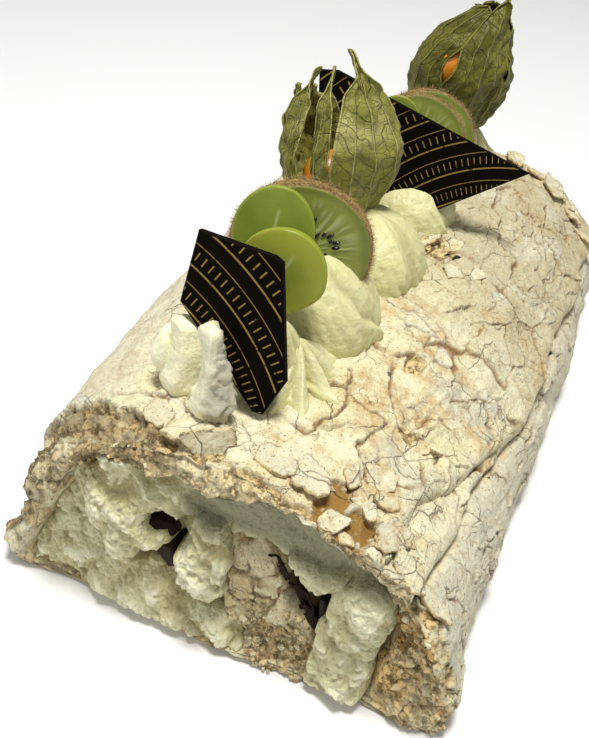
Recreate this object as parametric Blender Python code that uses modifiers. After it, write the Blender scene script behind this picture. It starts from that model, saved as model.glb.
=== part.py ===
"""Banana roulade: a rolled meringue with cream inside, and cream, fruit and chocolate on top.

Metres, +Z up. The origin is the middle of the flat bottom. The cut end that shows the
filling faces -Y, and the roll runs back along +Y.
"""
import math
import random

import bmesh
import bpy
from mathutils import Matrix, Vector, noise

# Driving dimensions of the roll
LENGTH = 0.250
HEIGHT = 0.070
RIGHT_HALF_WIDTH = 0.0775           # past the middle, where the roll is widest
RIGHT_END_HALF_WIDTH = 0.0705       # at the cut end
LEFT_HALF_WIDTH = 0.0785
LEFT_END_HALF_WIDTH = 0.0710
RIGHT_ROUNDNESS = 2.1               # exponent of the flank's curve, 2 for an ellipse
LEFT_ROUNDNESS = 2.7
BELLY = 0.16 * HEIGHT               # height of the widest line of the flanks
TUCK = math.radians(20)             # how far the flanks turn in under that line
FLOOR_CRUST = 0.0035                # thickness of the crust under the cream
GAP = 0.0003                        # clearance between pieces that touch
SEAM_MERGE = 0.000002               # points of a cut closer than this are one point
SHARPEST_GROWTH = 2.0               # limit to how far a clearance reaches out at a sharp edge

# Cracked plates of the crust
PLATE_ROWS = 14
PLATE_STEPS = 23
PLATE_MERGES = 0.22                 # share of the cracks that are closed, which joins two plates
CREASE_ROW = 3                      # line of plates that follows the fold along the right flank
CREASE_DEPTH = 0.0030
CRACK_HALF_WIDTH = 0.0009
PLATE_RISE = (0.0007, 0.0019)
CRUST_SWELL = 0.0016
PLATE_DRIFT = 0.011                 # how far the lines of cracks wander

# Relief of the two cut ends
END_GRID = 0.0048
END_MARGIN = 0.012
END_SLOPE = 0.15                    # the cut leans back by this much for each unit of height
END_BULGE = (0.010, 0.045, 0.022, 0.011)  # middle, half width, half height, reach of the foot
BACK_SLOPE = 0.10
CREAM_SETBACK = 0.0015              # the cream lies this far behind the crust's cut
CRUMB_RELIEF = 0.0030
CREAM_RELIEF = 0.0013

# Section of the cream at the cut, as X and Z from the middle of the bottom, clockwise
CREAM_OUTER = (
    (-0.0680, FLOOR_CRUST), (-0.0690, 0.0120), (-0.0640, 0.0290), (-0.0540, 0.0440),
    (-0.0410, 0.0540), (-0.0240, 0.0590), (-0.0040, 0.0605), (0.0150, 0.0590),
    (0.0320, 0.0530), (0.0450, 0.0430), (0.0530, 0.0310), (0.0550, 0.0160), (0.0520, FLOOR_CRUST))
CREAM_INNER = (
    (0.0330, FLOOR_CRUST), (0.0300, 0.0140), (0.0270, 0.0270), (0.0235, 0.0380),
    (0.0190, 0.0455), (0.0120, 0.0485), (0.0040, 0.0475), (-0.0005, 0.0420),
    (-0.0010, 0.0310), (0.0025, 0.0210), (0.0095, 0.0155), (0.0125, 0.0100), (0.0110, FLOOR_CRUST))

# Swellings and hollows of the cut end: X, Z, half width, half height, forward reach
CREAM_LUMPS = (
    (-0.034, 0.046, 0.014, 0.009, 0.0040), (-0.053, 0.020, 0.014, 0.013, 0.0020),
    (-0.022, 0.013, 0.020, 0.010, 0.0045), (-0.044, 0.034, 0.008, 0.006, -0.0040),
    (-0.021, 0.040, 0.0050, 0.0040, -0.0130), (-0.0145, 0.038, 0.0050, 0.0055, -0.0100),
    (-0.017, 0.027, 0.0075, 0.0055, -0.0110), (-0.008, 0.032, 0.0070, 0.0085, 0.0060),
    (0.027, 0.036, 0.0065, 0.0070, -0.0120), (0.030, 0.022, 0.0050, 0.0100, -0.0060),
    (0.037, 0.036, 0.0080, 0.0060, 0.0040), (0.039, 0.014, 0.0110, 0.0100, 0.0050))
CRUST_LUMPS = (
    (0.0095, 0.031, 0.0095, 0.0110, 0.0050), (0.014, 0.047, 0.0090, 0.0030, -0.0090),
    (0.022, 0.009, 0.0090, 0.0080, -0.0030), (0.064, 0.016, 0.0110, 0.0150, 0.0030),
    (-0.046, 0.058, 0.0120, 0.0060, -0.0040), (0.052, 0.048, 0.0100, 0.0080, -0.0050))

# Piped cream: X, Y, radius, height above the crust, lobes, turn of the lobes
SWIRLS = {
    "cream_swirl_front": (-0.0020, -0.0800, 0.0175, 0.0215, 7, 0.5),
    "cream_swirl_front_left": (-0.0240, -0.0910, 0.0160, 0.0235, 6, 0.3),
    "cream_swirl_second": (-0.0090, -0.0430, 0.0255, 0.0215, 8, 0.9),
    "cream_swirl_third": (-0.0030, -0.0020, 0.0250, 0.0180, 8, 0.8),
    "cream_swirl_fourth": (0.0005, 0.0450, 0.0215, 0.0150, 7, 0.6),
    "cream_swirl_back": (0.0080, 0.1060, 0.0180, 0.0160, 7, 0.7),
}
SWIRL_SINK = 0.006                  # how far a swirl's outline is built into the crust before the cut
SWIRL_STEPS_PER_LOBE = 4
SWIRL_LEVELS = 4
SWIRL_TIP_RADIUS = 0.0008
SWIRL_TIP_RISE = 0.0015
SWIRL_GROOVE = (0.80, 0.24)         # share of the radius between the lobes, and what a lobe adds

# Chocolate in the filling
LUMP_RADIUS = 0.0052
LUMP_STRETCH = (1.15, 1.6, 0.75)
LUMP_PLACE = (-0.0170, -0.1110, 0.0275)
LUMP_TURN = 0.5
FLAKE_OUTLINE = ((-0.0007, -0.0090), (0.0006, -0.0085), (0.0009, 0.0010), (0.0019, 0.0085),
                 (0.0006, 0.0090), (-0.0004, 0.0010))
FLAKE_ENDS = (-0.008, 0.010)
FLAKE_PLACE = (0.0305, -0.1130, 0.0245)
FLAKE_TURN = -0.18

# Chocolate shards: foot on the crust, yaw and lean in degrees, outline from the foot
SHARD_THICKNESS = 0.0030
SHARD_BEVEL = 0.0005
SHARDS = {
    "chocolate_shard_front": {
        "foot": (-0.0010, -0.0990, 0.0725), "yaw": 0, "lean": 19,
        "outline": ((0.0010, 0.0), (0.0059, 0.0113), (-0.0013, 0.0433), (-0.0038, 0.0445),
                    (-0.0262, 0.0462), (-0.0285, 0.0253), (-0.0019, 0.0))},
    "chocolate_shard_back": {
        "foot": (0.0072, 0.0330, 0.0725), "yaw": 12, "lean": 15,
        "outline": ((0.0, 0.0), (0.0385, 0.0225), (-0.0370, 0.0500), (-0.0440, 0.0495),
                    (-0.0420, 0.0240), (-0.0120, 0.0045))},
}

# Grape halves: centre, half sizes across, deep and high, yaw, lean and roll in degrees
GRAPES = {
    "grape_half_upper": ((-0.0125, -0.0570, 0.1050), (0.0122, 0.0100, 0.0150), 15, 12, 4),
    "grape_half_lower": ((-0.0075, -0.0720, 0.1010), (0.0134, 0.0105, 0.0130), 10, 14, -25),
    "grape_half_back": ((-0.0118, 0.0500, 0.0985), (0.0100, 0.0085, 0.0130), 10, 10, 20),
}

# Kiwi slices: centre, radius, thickness, yaw and lean in degrees
KIWI_OVAL = 0.94
KIWI_BEVEL = 0.0008
KIWIS = {
    "kiwi_slice_front": ((-0.0110, -0.0450, 0.0945), 0.0235, 0.0060, 18, 12),
    "kiwi_slice_back": ((-0.0050, 0.0630, 0.0890), 0.0195, 0.0040, 18, 17),
    "kiwi_slice_rear": ((-0.0025, 0.0685, 0.0895), 0.0195, 0.0040, 20, 17),
}

# Physalis: base and tip of the husk, and for each petal the azimuth where it starts, its share of
# the height and how far its end leans out. A petal reaches to where the next one starts. The slit
# is a seam that gapes, as azimuth, lower and upper level and half its width in degrees.
HUSK_WALL = 0.0007
BERRY_LEVEL = 0.36                  # share of the husk's height at the berry's middle
STALK_RADIUS = 0.0009
HUSK_FOOT = 0.02                    # share of the height where the husk's wall starts
HUSK_SEAM_MERGE = 0.0003
SEAT_GROWTH = 1.10                  # size of the room for a husk in the cream, beside a clearance
SEAT_CLEARANCE = 0.0009
HUSK_ROWS = 8
HUSK_COLUMNS = 4
PHYSALIS = {
    "front": {
        "base": (-0.0140, 0.0050, 0.0790), "tip": (-0.0190, 0.0080, 0.1400), "radius": 0.0205,
        "waist": 0.42, "split": 0.30, "berry": 0.0085, "slit": (-135, 0.20, 0.60, 6),
        "petals": ((-187, 0.86, 0.35), (-135, 0.93, 0.25), (-91, 1.00, 0.10),
                   (1, 0.90, 0.15), (123, 0.80, 0.60))},
    "back": {
        "base": (-0.0025, 0.1035, 0.0810), "tip": (0.0105, 0.1075, 0.1355), "radius": 0.0225,
        "waist": 0.46, "split": 0.86, "berry": 0.0100, "slit": (-84, 0.42, 0.80, 9),
        "petals": ((-166, 0.95, 0.05), (-84, 1.00, 0.05), (0, 1.00, 0.05),
                   (63, 0.95, 0.05), (127, 0.92, 0.05))},
}

COLOURS = {
    "meringue": ((0.82, 0.68, 0.47), 0.75),
    "cream": ((0.86, 0.82, 0.60), 0.50),
    "chocolate": ((0.022, 0.012, 0.009), 0.30),
    "grape": ((0.36, 0.50, 0.08), 0.20),
    "kiwi": ((0.24, 0.34, 0.07), 0.35),
    "husk": ((0.25, 0.28, 0.08), 0.55),
    "berry": ((0.85, 0.33, 0.02), 0.25),
}


def clear_scene():
    for thing in list(bpy.data.objects):
        bpy.data.objects.remove(thing, do_unlink=True)


def new_collection(name):
    collection = bpy.data.collections.new(name)
    bpy.context.scene.collection.children.link(collection)
    return collection


def material(name):
    """Plain material of one food, made once."""
    if name in bpy.data.materials:
        return bpy.data.materials[name]
    colour, roughness = COLOURS[name]
    made = bpy.data.materials.new(name)
    made.use_nodes = True
    shader = made.node_tree.nodes["Principled BSDF"]
    shader.inputs["Base Color"].default_value = (*colour, 1.0)
    shader.inputs["Roughness"].default_value = roughness
    shader.inputs["Metallic"].default_value = 0.0
    return made


def to_object(name, bm, food, collection):
    """Turn a bmesh into a triangulated object with its material."""
    bmesh.ops.triangulate(bm, faces=bm.faces[:], quad_method="BEAUTY", ngon_method="BEAUTY")
    bmesh.ops.recalc_face_normals(bm, faces=bm.faces[:])
    mesh = bpy.data.meshes.new(name)
    bm.to_mesh(mesh)
    bm.free()
    mesh.shade_smooth()
    mesh.set_sharp_from_angle(angle=math.radians(50))
    if food:
        mesh.materials.append(material(food))
    made = bpy.data.objects.new(name, mesh)
    collection.objects.link(made)
    return made


def combine(target, cutter, operation):
    """Apply one Boolean to the target and tidy the seam."""
    step = target.modifiers.new("step", "BOOLEAN")
    step.object = cutter
    step.operation = operation
    bpy.context.view_layer.update()
    evaluated = target.evaluated_get(bpy.context.evaluated_depsgraph_get())
    mesh = bpy.data.meshes.new_from_object(evaluated)
    target.modifiers.remove(step)
    bm = bmesh.new()
    bm.from_mesh(mesh)
    bmesh.ops.remove_doubles(bm, verts=bm.verts[:], dist=SEAM_MERGE)
    bmesh.ops.dissolve_degenerate(bm, edges=bm.edges[:], dist=SEAM_MERGE)
    bmesh.ops.triangulate(bm, faces=bm.faces[:])
    bm.to_mesh(mesh)
    bm.free()
    old = target.data
    target.data = mesh
    mesh.name = old.name
    bpy.data.meshes.remove(old)


def grown_copy(source, amount, collection):
    """Copy whose surface lies outside the source's by about the amount, for clearance."""
    bm = bmesh.new()
    bm.from_mesh(source.data)
    bmesh.ops.remove_doubles(bm, verts=bm.verts[:], dist=5 * SEAM_MERGE)
    bm.normal_update()
    moves = [(v, v.normal * amount * min(v.calc_shell_factor(), SHARPEST_GROWTH)) for v in bm.verts]
    for vertex, move in moves:
        vertex.co += move
    mesh = bpy.data.meshes.new(source.name + "_clearance")
    bm.to_mesh(mesh)
    bm.free()
    grown = bpy.data.objects.new(mesh.name, mesh)
    grown.matrix_world = source.matrix_world.copy()
    collection.objects.link(grown)
    return grown


def keep_largest(target):
    """Drop the loose scraps that a cut leaves beside the main body."""
    bm = bmesh.new()
    bm.from_mesh(target.data)
    unseen = set(bm.verts)
    bodies = []
    while unseen:
        body = [unseen.pop()]
        for vertex in body:
            for edge in vertex.link_edges:
                other = edge.other_vert(vertex)
                if other in unseen:
                    unseen.remove(other)
                    body.append(other)
        bodies.append(body)
    bodies.sort(key=len, reverse=True)
    for body in bodies[1:]:
        bmesh.ops.delete(bm, geom=body, context="VERTS")
    bm.to_mesh(target.data)
    bm.free()


def smooth_step(low, high, value):
    share = min(max((value - low) / (high - low), 0.0), 1.0)
    return share * share * (3 - 2 * share)


def mix(first, second, share):
    return first + (second - first) * share


def wave(x, y, z, scale, seed=0.0):
    """Smooth noise between about -1 and 1, with features of the given size."""
    return noise.noise(Vector((x / scale + seed, y / scale - seed, z / scale + 2 * seed)))


def half_width(is_right, along):
    """Half width of the roll, which narrows towards the cut end."""
    if is_right:
        return mix(RIGHT_END_HALF_WIDTH, RIGHT_HALF_WIDTH, smooth_step(-0.100, 0.050, along))
    return mix(LEFT_END_HALF_WIDTH, LEFT_HALF_WIDTH, smooth_step(-0.125, -0.050, along))


def crease_angle(along):
    """Angle of the fold that runs back along the right flank and sinks towards the far end."""
    return math.radians(mix(35, 21, smooth_step(-0.120, 0.040, along)))


def crust_point(angle, along, lift=0.0):
    """Point of the roll's outside. Angle 0 is the right flank and 90 degrees the top."""
    across, up = math.cos(angle), math.sin(angle)
    half = half_width(across > 0, along)
    power = 2 / (RIGHT_ROUNDNESS if across > 0 else LEFT_ROUNDNESS)
    rise = HEIGHT - BELLY
    x = math.copysign(half * abs(across) ** power, across)
    if up < 0:
        z = max(BELLY * (1 + up / math.sin(TUCK)), 0.0)
        normal = Vector((math.copysign(1.0, across), 0, 0))
    else:
        z = BELLY + rise * up ** power
        normal = Vector((x / half ** 2, 0, (z - BELLY) / rise ** 2)).normalized()
    lift += CRUST_SWELL * wave(x, along, z, 0.035) * smooth_step(0.0, 0.010, z)
    return Vector((x, along, z)) + normal * lift


def line_angle(row, along):
    """Angle of one line of cracks. The lines are even on both sides of the fold."""
    crease = crease_angle(along)
    if row <= CREASE_ROW:
        return mix(-TUCK, crease, row / CREASE_ROW)
    return mix(crease, math.pi + TUCK, (row - CREASE_ROW) / (PLATE_ROWS - CREASE_ROW))


def build_roll_outside(collection):
    """Solid roll with raised plates between cracks, longer than the cake at both ends."""
    draw = random.Random(11)
    first, last = -LENGTH / 2 - 0.024, LENGTH / 2 + 0.016
    step = (last - first) / PLATE_STEPS
    bm = bmesh.new()
    lines = []
    for row in range(PLATE_ROWS + 1):
        line = []
        for index in range(PLATE_STEPS + 1):
            along = first + index * step
            inner = 0 < index < PLATE_STEPS
            if inner:
                along += draw.uniform(-0.45, 0.45) * step
            angle = line_angle(row, along)
            lift = 0.0
            if 0 < row < PLATE_ROWS and row != CREASE_ROW and inner:
                angle += draw.uniform(-0.45, 0.45) * math.pi / PLATE_ROWS
                angle += PLATE_DRIFT / HEIGHT * wave(row * 0.011, along, 0, 0.040)
                along += PLATE_DRIFT * wave(row * 0.011, along, 1, 0.045)
            if row == CREASE_ROW:
                lift = -CREASE_DEPTH
            line.append(bm.verts.new(crust_point(angle, along, lift)))
        lines.append(line)
    for row in range(PLATE_ROWS):
        below, above = lines[row], lines[row + 1]
        start = -(row % 2)
        while start < PLATE_STEPS:
            cells = range(max(start, 0), min(start + 2, PLATE_STEPS) + 1)
            ring = [below[k] for k in cells] + [above[k] for k in reversed(cells)]
            bm.faces.new(ring)
            start += 2
    seams = [edge for edge in bm.edges if len(edge.link_faces) == 2
             and not any(vert in lines[CREASE_ROW] for vert in edge.verts)]
    joined = [edge for edge in seams if draw.random() < PLATE_MERGES]
    bmesh.ops.dissolve_edges(bm, edges=joined, use_verts=False)
    plates = bm.faces[:]
    bm.faces.new(lines[0][::-1] + lines[-1])
    bm.faces.new([line[0] for line in lines])
    bm.faces.new([line[-1] for line in lines][::-1])
    bmesh.ops.recalc_face_normals(bm, faces=bm.faces[:])
    for plate in plates:
        bmesh.ops.inset_individual(bm, faces=[plate], thickness=CRACK_HALF_WIDTH,
                                   depth=draw.uniform(*PLATE_RISE), use_even_offset=True)
    return to_object("roll_outside", bm, None, collection)


def lumps_at(lumps, x, z):
    total = 0.0
    for at_x, at_z, wide, high, reach in lumps:
        total += reach * math.exp(-((x - at_x) / wide) ** 2 - ((z - at_z) / high) ** 2)
    return total


def cut_front(x, z):
    """Y of the cut end before its relief: leaning back, and bulging out along the bottom."""
    middle, wide, high, reach = END_BULGE
    bulge = reach * math.exp(-((x - middle) / wide) ** 2 - (z / high) ** 2)
    return -LENGTH / 2 + END_SLOPE * z - bulge


def crust_front(x, z):
    crumbs = wave(x, 0, z, 0.009) + 0.5 * wave(x, 0, z, 0.004, 3.0)
    return cut_front(x, z) - lumps_at(CRUST_LUMPS, x, z) + CRUMB_RELIEF * crumbs


def cream_front(x, z):
    soft = wave(x, 0, z, 0.011, 5.0) + 0.5 * wave(x, 0, z, 0.005, 7.0)
    return cut_front(x, z) - CREAM_SETBACK - lumps_at(CREAM_LUMPS, x, z) + CREAM_RELIEF * soft


def crust_back(x, z):
    crumbs = wave(x, 9, z, 0.012, 2.0) + 0.5 * wave(x, 9, z, 0.005, 4.0)
    return LENGTH / 2 - BACK_SLOPE * z + 1.5 * CRUMB_RELIEF * crumbs


def cream_back(x, z):
    soft = wave(x, 9, z, 0.009, 6.0)
    return LENGTH / 2 - BACK_SLOPE * z - CREAM_SETBACK + 2 * CREAM_RELIEF * soft


def build_end_block(name, front, back, collection):
    """Block that holds the whole section, with the relief of the two ends on its ends."""
    left = -LEFT_HALF_WIDTH - END_MARGIN
    right = RIGHT_HALF_WIDTH + END_MARGIN
    columns = round((right - left) / END_GRID)
    rows = round((HEIGHT + 2 * END_MARGIN) / END_GRID)
    bm = bmesh.new()
    sheets = []
    for surface in (front, back):
        sheet = []
        for row in range(rows + 1):
            z = -END_MARGIN + (HEIGHT + 2 * END_MARGIN) * row / rows
            line = []
            for column in range(columns + 1):
                x = mix(left, right, column / columns)
                line.append(bm.verts.new((x, surface(x, z), z)))
            sheet.append(line)
        for row in range(rows):
            for column in range(columns):
                bm.faces.new((sheet[row][column], sheet[row][column + 1],
                              sheet[row + 1][column + 1], sheet[row + 1][column]))
        sheets.append(sheet)
    rims = []
    for sheet in sheets:
        rim = sheet[0][:-1] + [line[-1] for line in sheet[:-1]]
        rim += sheet[-1][:0:-1] + [line[0] for line in sheet[:0:-1]]
        rims.append(rim)
    count = len(rims[0])
    for index in range(count):
        after = (index + 1) % count
        bm.faces.new((rims[0][index], rims[0][after], rims[1][after], rims[1][index]))
    return to_object(name, bm, None, collection)


def build_prism(name, outline, first, last, food, collection):
    """Straight prism along Y of an outline given as X and Z."""
    bm = bmesh.new()
    near = [bm.verts.new((x, first, z)) for x, z in outline]
    far = [bm.verts.new((x, last, z)) for x, z in outline]
    bm.faces.new(near)
    bm.faces.new(far[::-1])
    for index in range(len(outline)):
        after = (index + 1) % len(outline)
        bm.faces.new((near[index], near[after], far[after], far[index]))
    return to_object(name, bm, food, collection)


def build_roll(parts, cutters):
    """The meringue, and the cream that runs through it."""
    outline = CREAM_OUTER + CREAM_INNER
    reach = LENGTH / 2 + 0.030
    cream = build_prism("cream_filling", outline, -reach, reach, "cream", parts)
    channel = grown_copy(cream, GAP, cutters)
    combine(cream, build_end_block("cream_ends", cream_front, cream_back, cutters), "INTERSECT")
    meringue = build_roll_outside(cutters)
    outside = grown_copy(meringue, GAP, cutters)
    outside.name = "roll_outside_clearance"
    combine(meringue, build_end_block("crust_ends", crust_front, crust_back, cutters), "INTERSECT")
    combine(meringue, channel, "DIFFERENCE")
    keep_largest(meringue)
    keep_largest(cream)
    meringue.name = "meringue_roll"
    meringue.data.materials.clear()
    meringue.data.materials.append(material("meringue"))
    cutters.objects.unlink(meringue)
    parts.objects.link(meringue)
    return meringue, cream, outside


def build_chocolate_in_filling(parts):
    """A broken lump on the left and a thin flake on the right of the core."""
    draw = random.Random(5)
    bm = bmesh.new()
    bmesh.ops.create_icosphere(bm, subdivisions=2, radius=LUMP_RADIUS)
    for vertex in bm.verts:
        vertex.co *= 1 + draw.uniform(-0.16, 0.16)
    bmesh.ops.scale(bm, vec=LUMP_STRETCH, verts=bm.verts[:])
    place = Matrix.Translation(LUMP_PLACE) @ Matrix.Rotation(LUMP_TURN, 4, "Y")
    bmesh.ops.transform(bm, matrix=place, verts=bm.verts[:])
    lump = to_object("chocolate_lump", bm, "chocolate", parts)
    flake = build_prism("chocolate_flake", FLAKE_OUTLINE, *FLAKE_ENDS, "chocolate", parts)
    flake.data.transform(Matrix.Translation(FLAKE_PLACE) @ Matrix.Rotation(FLAKE_TURN, 4, "Y"))
    return [lump, flake]


def build_swirl(name, values, collection, room=0.0):
    """Piped swirl: lobes that wind round and draw in to a point. Room is added all round."""
    x, y, radius, height, lobes, turn = values
    count = lobes * SWIRL_STEPS_PER_LOBE
    seed = radius * 1000
    low = HEIGHT - SWIRL_SINK - room
    height += room
    bm = bmesh.new()
    rings = []
    for level in range(SWIRL_LEVELS + 1):
        share = level / SWIRL_LEVELS
        z = mix(low, HEIGHT + height, share)
        body = radius * math.sqrt(max(1 - share ** 2.2, 0.0)) + SWIRL_TIP_RADIUS
        ring = []
        for index in range(count):
            angle = 2 * math.pi * index / count
            ridge = abs(math.cos(lobes * angle / 2)) ** 0.8
            groove, lobe = SWIRL_GROOVE
            uneven = 1 + 0.10 * wave(angle * radius, share, seed, 0.012)
            reach = body * (groove + lobe * ridge) * uneven + room
            bearing = angle + turn * share ** 1.3
            ring.append(bm.verts.new((x + reach * math.cos(bearing), y + reach * math.sin(bearing), z)))
        rings.append(ring)
    for below, above in zip(rings, rings[1:]):
        for index in range(count):
            after = (index + 1) % count
            bm.faces.new((below[index], below[after], above[after], above[index]))
    bm.faces.new(rings[0][::-1])
    top = bm.verts.new((x, y, HEIGHT + height + SWIRL_TIP_RISE))
    for index in range(count):
        bm.faces.new((rings[-1][index], rings[-1][(index + 1) % count], top))
    return to_object(name, bm, "cream", collection)


def build_shard(name, values, collection):
    """Flat broken piece of chocolate with softened edges, standing on one corner."""
    bm = bmesh.new()
    front = [bm.verts.new((x, 0, z)) for x, z in values["outline"]]
    face = bm.faces.new(front)
    slab = bmesh.ops.extrude_face_region(bm, geom=[face])
    back = [item for item in slab["geom"] if isinstance(item, bmesh.types.BMVert)]
    bmesh.ops.translate(bm, vec=(0, SHARD_THICKNESS, 0), verts=back)
    bmesh.ops.recalc_face_normals(bm, faces=bm.faces[:])
    rim = [e for e in bm.edges if abs(e.verts[0].co.y - e.verts[1].co.y) < SHARD_THICKNESS / 2]
    bmesh.ops.bevel(bm, geom=rim, offset=SHARD_BEVEL, segments=1, affect="EDGES")
    turn = Matrix.Rotation(math.radians(values["yaw"]), 4, "Z")
    lean = Matrix.Rotation(-math.radians(values["lean"]), 4, "X")
    place = Matrix.Translation(values["foot"]) @ turn @ lean
    bmesh.ops.transform(bm, matrix=place, verts=bm.verts[:])
    return to_object(name, bm, "chocolate", collection)


def build_grape(name, values, collection):
    """Half of a long grape, its flat cut turned to the front."""
    centre, halves, yaw, lean, roll = values
    bm = bmesh.new()
    bmesh.ops.create_uvsphere(bm, u_segments=16, v_segments=12, radius=1.0)
    geometry = bm.verts[:] + bm.edges[:] + bm.faces[:]
    cut = bmesh.ops.bisect_plane(bm, geom=geometry, dist=1e-6, plane_co=(0, -0.12, 0),
                                 plane_no=(0, -1, 0), clear_outer=True)
    rim = [item for item in cut["geom_cut"] if isinstance(item, bmesh.types.BMEdge)]
    bmesh.ops.contextual_create(bm, geom=rim)
    bmesh.ops.scale(bm, vec=halves, verts=bm.verts[:])
    turn = Matrix.Rotation(math.radians(yaw), 4, "Z") @ Matrix.Rotation(-math.radians(lean), 4, "X")
    place = Matrix.Translation(centre) @ turn @ Matrix.Rotation(math.radians(roll), 4, "Y")
    bmesh.ops.transform(bm, matrix=place, verts=bm.verts[:])
    return to_object(name, bm, "grape", collection)


def build_kiwi(name, values, collection):
    """Round slice with a softened rim, standing up and leaning back."""
    centre, radius, thickness, yaw, lean = values
    bm = bmesh.new()
    bmesh.ops.create_cone(bm, cap_ends=True, segments=32, radius1=radius, radius2=radius,
                          depth=thickness)
    bmesh.ops.scale(bm, vec=(1, KIWI_OVAL, 1), verts=bm.verts[:])
    rim = [edge for edge in bm.edges if abs(edge.verts[0].co.z - edge.verts[1].co.z) < thickness / 2]
    bmesh.ops.bevel(bm, geom=rim, offset=KIWI_BEVEL, segments=1, affect="EDGES")
    turn = Matrix.Rotation(math.radians(yaw), 4, "Z")
    upright = Matrix.Rotation(math.radians(90 - lean), 4, "X")
    bmesh.ops.transform(bm, matrix=Matrix.Translation(centre) @ turn @ upright, verts=bm.verts[:])
    return to_object(name, bm, "kiwi", collection)


def husk_radius(share, waist):
    """Radius of the lantern from its base to its tip, 1 at the waist."""
    if share < waist:
        return 0.10 + 0.90 * math.sin(0.5 * math.pi * share / waist) ** 0.75
    return 0.06 + 0.94 * math.cos(0.5 * math.pi * (share - waist) / (1 - waist)) ** 0.9


def husk_axis(values):
    base, tip = Vector(values["base"]), Vector(values["tip"])
    upright = (tip - base).normalized()
    sideways = Vector((0, 1, 0)).cross(upright).normalized()
    return base, upright, sideways, upright.cross(sideways), (tip - base).length


def husk_point(values, azimuth, share, opening):
    """Point of a petal. An opened petal leans out above the waist."""
    base, upright, sideways, depth, height = husk_axis(values)
    radius = values["radius"] * husk_radius(share, values["waist"])
    radius += opening * values["radius"] * smooth_step(values["split"], 1.0, share)
    radius *= 1 + 0.07 * math.cos(5 * azimuth) * math.sin(math.pi * share)
    radius *= 1 + 0.10 * wave(math.cos(azimuth), share * 2, math.sin(azimuth), 0.45, values["waist"])
    around = sideways * math.cos(azimuth) + depth * math.sin(azimuth)
    return base + upright * height * share + around * radius


def slit_gape(values, azimuth, level, side):
    """How far, in degrees, an edge of a petal draws back from the seam that gapes."""
    seam, low, high, half = values["slit"]
    if abs(side) < 1 or abs((azimuth - seam + 180) % 360 - 180) > 0.5 or not low < level < high:
        return 0.0
    return -side * half * math.sin(math.pi * (level - low) / (high - low))


def build_husk(name, values, collection):
    """Papery lantern of five petals, joined below the split and free above it."""
    bm = bmesh.new()
    split = values["split"]
    starts = [petal[0] for petal in values["petals"]]
    ends = starts[1:] + [starts[0] + 360]
    for (start, tall, opening), end in zip(values["petals"], ends):
        azimuth, half = (start + end) / 2, (end - start) / 2
        rows = []
        for row in range(HUSK_ROWS + 1):
            level = row / HUSK_ROWS
            share = HUSK_FOOT + (1 - HUSK_FOOT) * level * mix(1.0, tall, smooth_step(split, 1.0, level))
            free = max(level - split, 0.0) / (1 - split)
            spread = 1 - 0.08 * min(free * 4, 1.0) - 0.84 * free ** 2.4
            line = []
            for column in range(HUSK_COLUMNS + 1):
                side = 2 * column / HUSK_COLUMNS - 1
                turn = half * spread * side + slit_gape(values, azimuth + half * side, level, side)
                bearing = math.radians(azimuth + turn)
                line.append(bm.verts.new(husk_point(values, bearing, share, opening)))
            rows.append(line)
        for below, above in zip(rows, rows[1:]):
            for column in range(HUSK_COLUMNS):
                bm.faces.new((below[column], below[column + 1], above[column + 1], above[column]))
    bmesh.ops.remove_doubles(bm, verts=bm.verts[:], dist=HUSK_SEAM_MERGE)
    lowest = [edge for edge in bm.edges if edge.is_boundary and all(
        (vert.co - Vector(values["base"])).length < values["radius"] * 0.30 for vert in edge.verts)]
    bmesh.ops.contextual_create(bm, geom=lowest)
    bmesh.ops.triangulate(bm, faces=bm.faces[:])
    bmesh.ops.recalc_face_normals(bm, faces=bm.faces[:])
    sheet = to_object(name, bm, "husk", collection)
    wall = sheet.modifiers.new("wall", "SOLIDIFY")
    wall.thickness = HUSK_WALL
    wall.offset = 0.0
    return sheet


def build_berry(name, values, parts, cutters):
    """Round berry on a short stalk that stands up from the base of its husk."""
    base, upright, _, _, height = husk_axis(values)
    middle = base + upright * height * BERRY_LEVEL
    turn = upright.to_track_quat("Z", "Y").to_matrix().to_4x4()
    bm = bmesh.new()
    bmesh.ops.create_uvsphere(bm, u_segments=14, v_segments=8, radius=values["berry"])
    bmesh.ops.transform(bm, matrix=Matrix.Translation(middle) @ turn, verts=bm.verts[:])
    berry = to_object(name, bm, "berry", parts)
    foot = base + upright * (HUSK_FOOT * height + HUSK_WALL + GAP)
    bm = bmesh.new()
    bmesh.ops.create_cone(bm, cap_ends=True, segments=7, radius1=STALK_RADIUS, radius2=STALK_RADIUS,
                          depth=(middle - foot).length)
    place = Matrix.Translation((middle + foot) / 2) @ turn
    bmesh.ops.transform(bm, matrix=place, verts=bm.verts[:])
    combine(berry, to_object(name + "_stalk", bm, None, cutters), "UNION")
    return berry


def build_husk_seat(name, values, collection):
    """Closed lantern, a little larger than the husk, that seats it in the cream."""
    base, upright, _, _, height = husk_axis(values)
    around = 16
    bm = bmesh.new()
    rings = []
    for row in range(6):
        share = HUSK_FOOT + 0.10 * row
        centre = base + upright * height * share
        ring = []
        for index in range(around):
            out = husk_point(values, 2 * math.pi * index / around, share, 0.0) - centre
            ring.append(bm.verts.new(centre + out * SEAT_GROWTH + out.normalized() * SEAT_CLEARANCE))
        rings.append(ring)
    for below, above in zip(rings, rings[1:]):
        for index in range(around):
            after = (index + 1) % around
            bm.faces.new((below[index], below[after], above[after], above[index]))
    bm.faces.new(rings[-1])
    bottom = bm.verts.new(base - upright * SEAT_CLEARANCE)
    for index in range(around):
        bm.faces.new((rings[0][(index + 1) % around], rings[0][index], bottom))
    return to_object(name, bm, None, collection)


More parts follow.
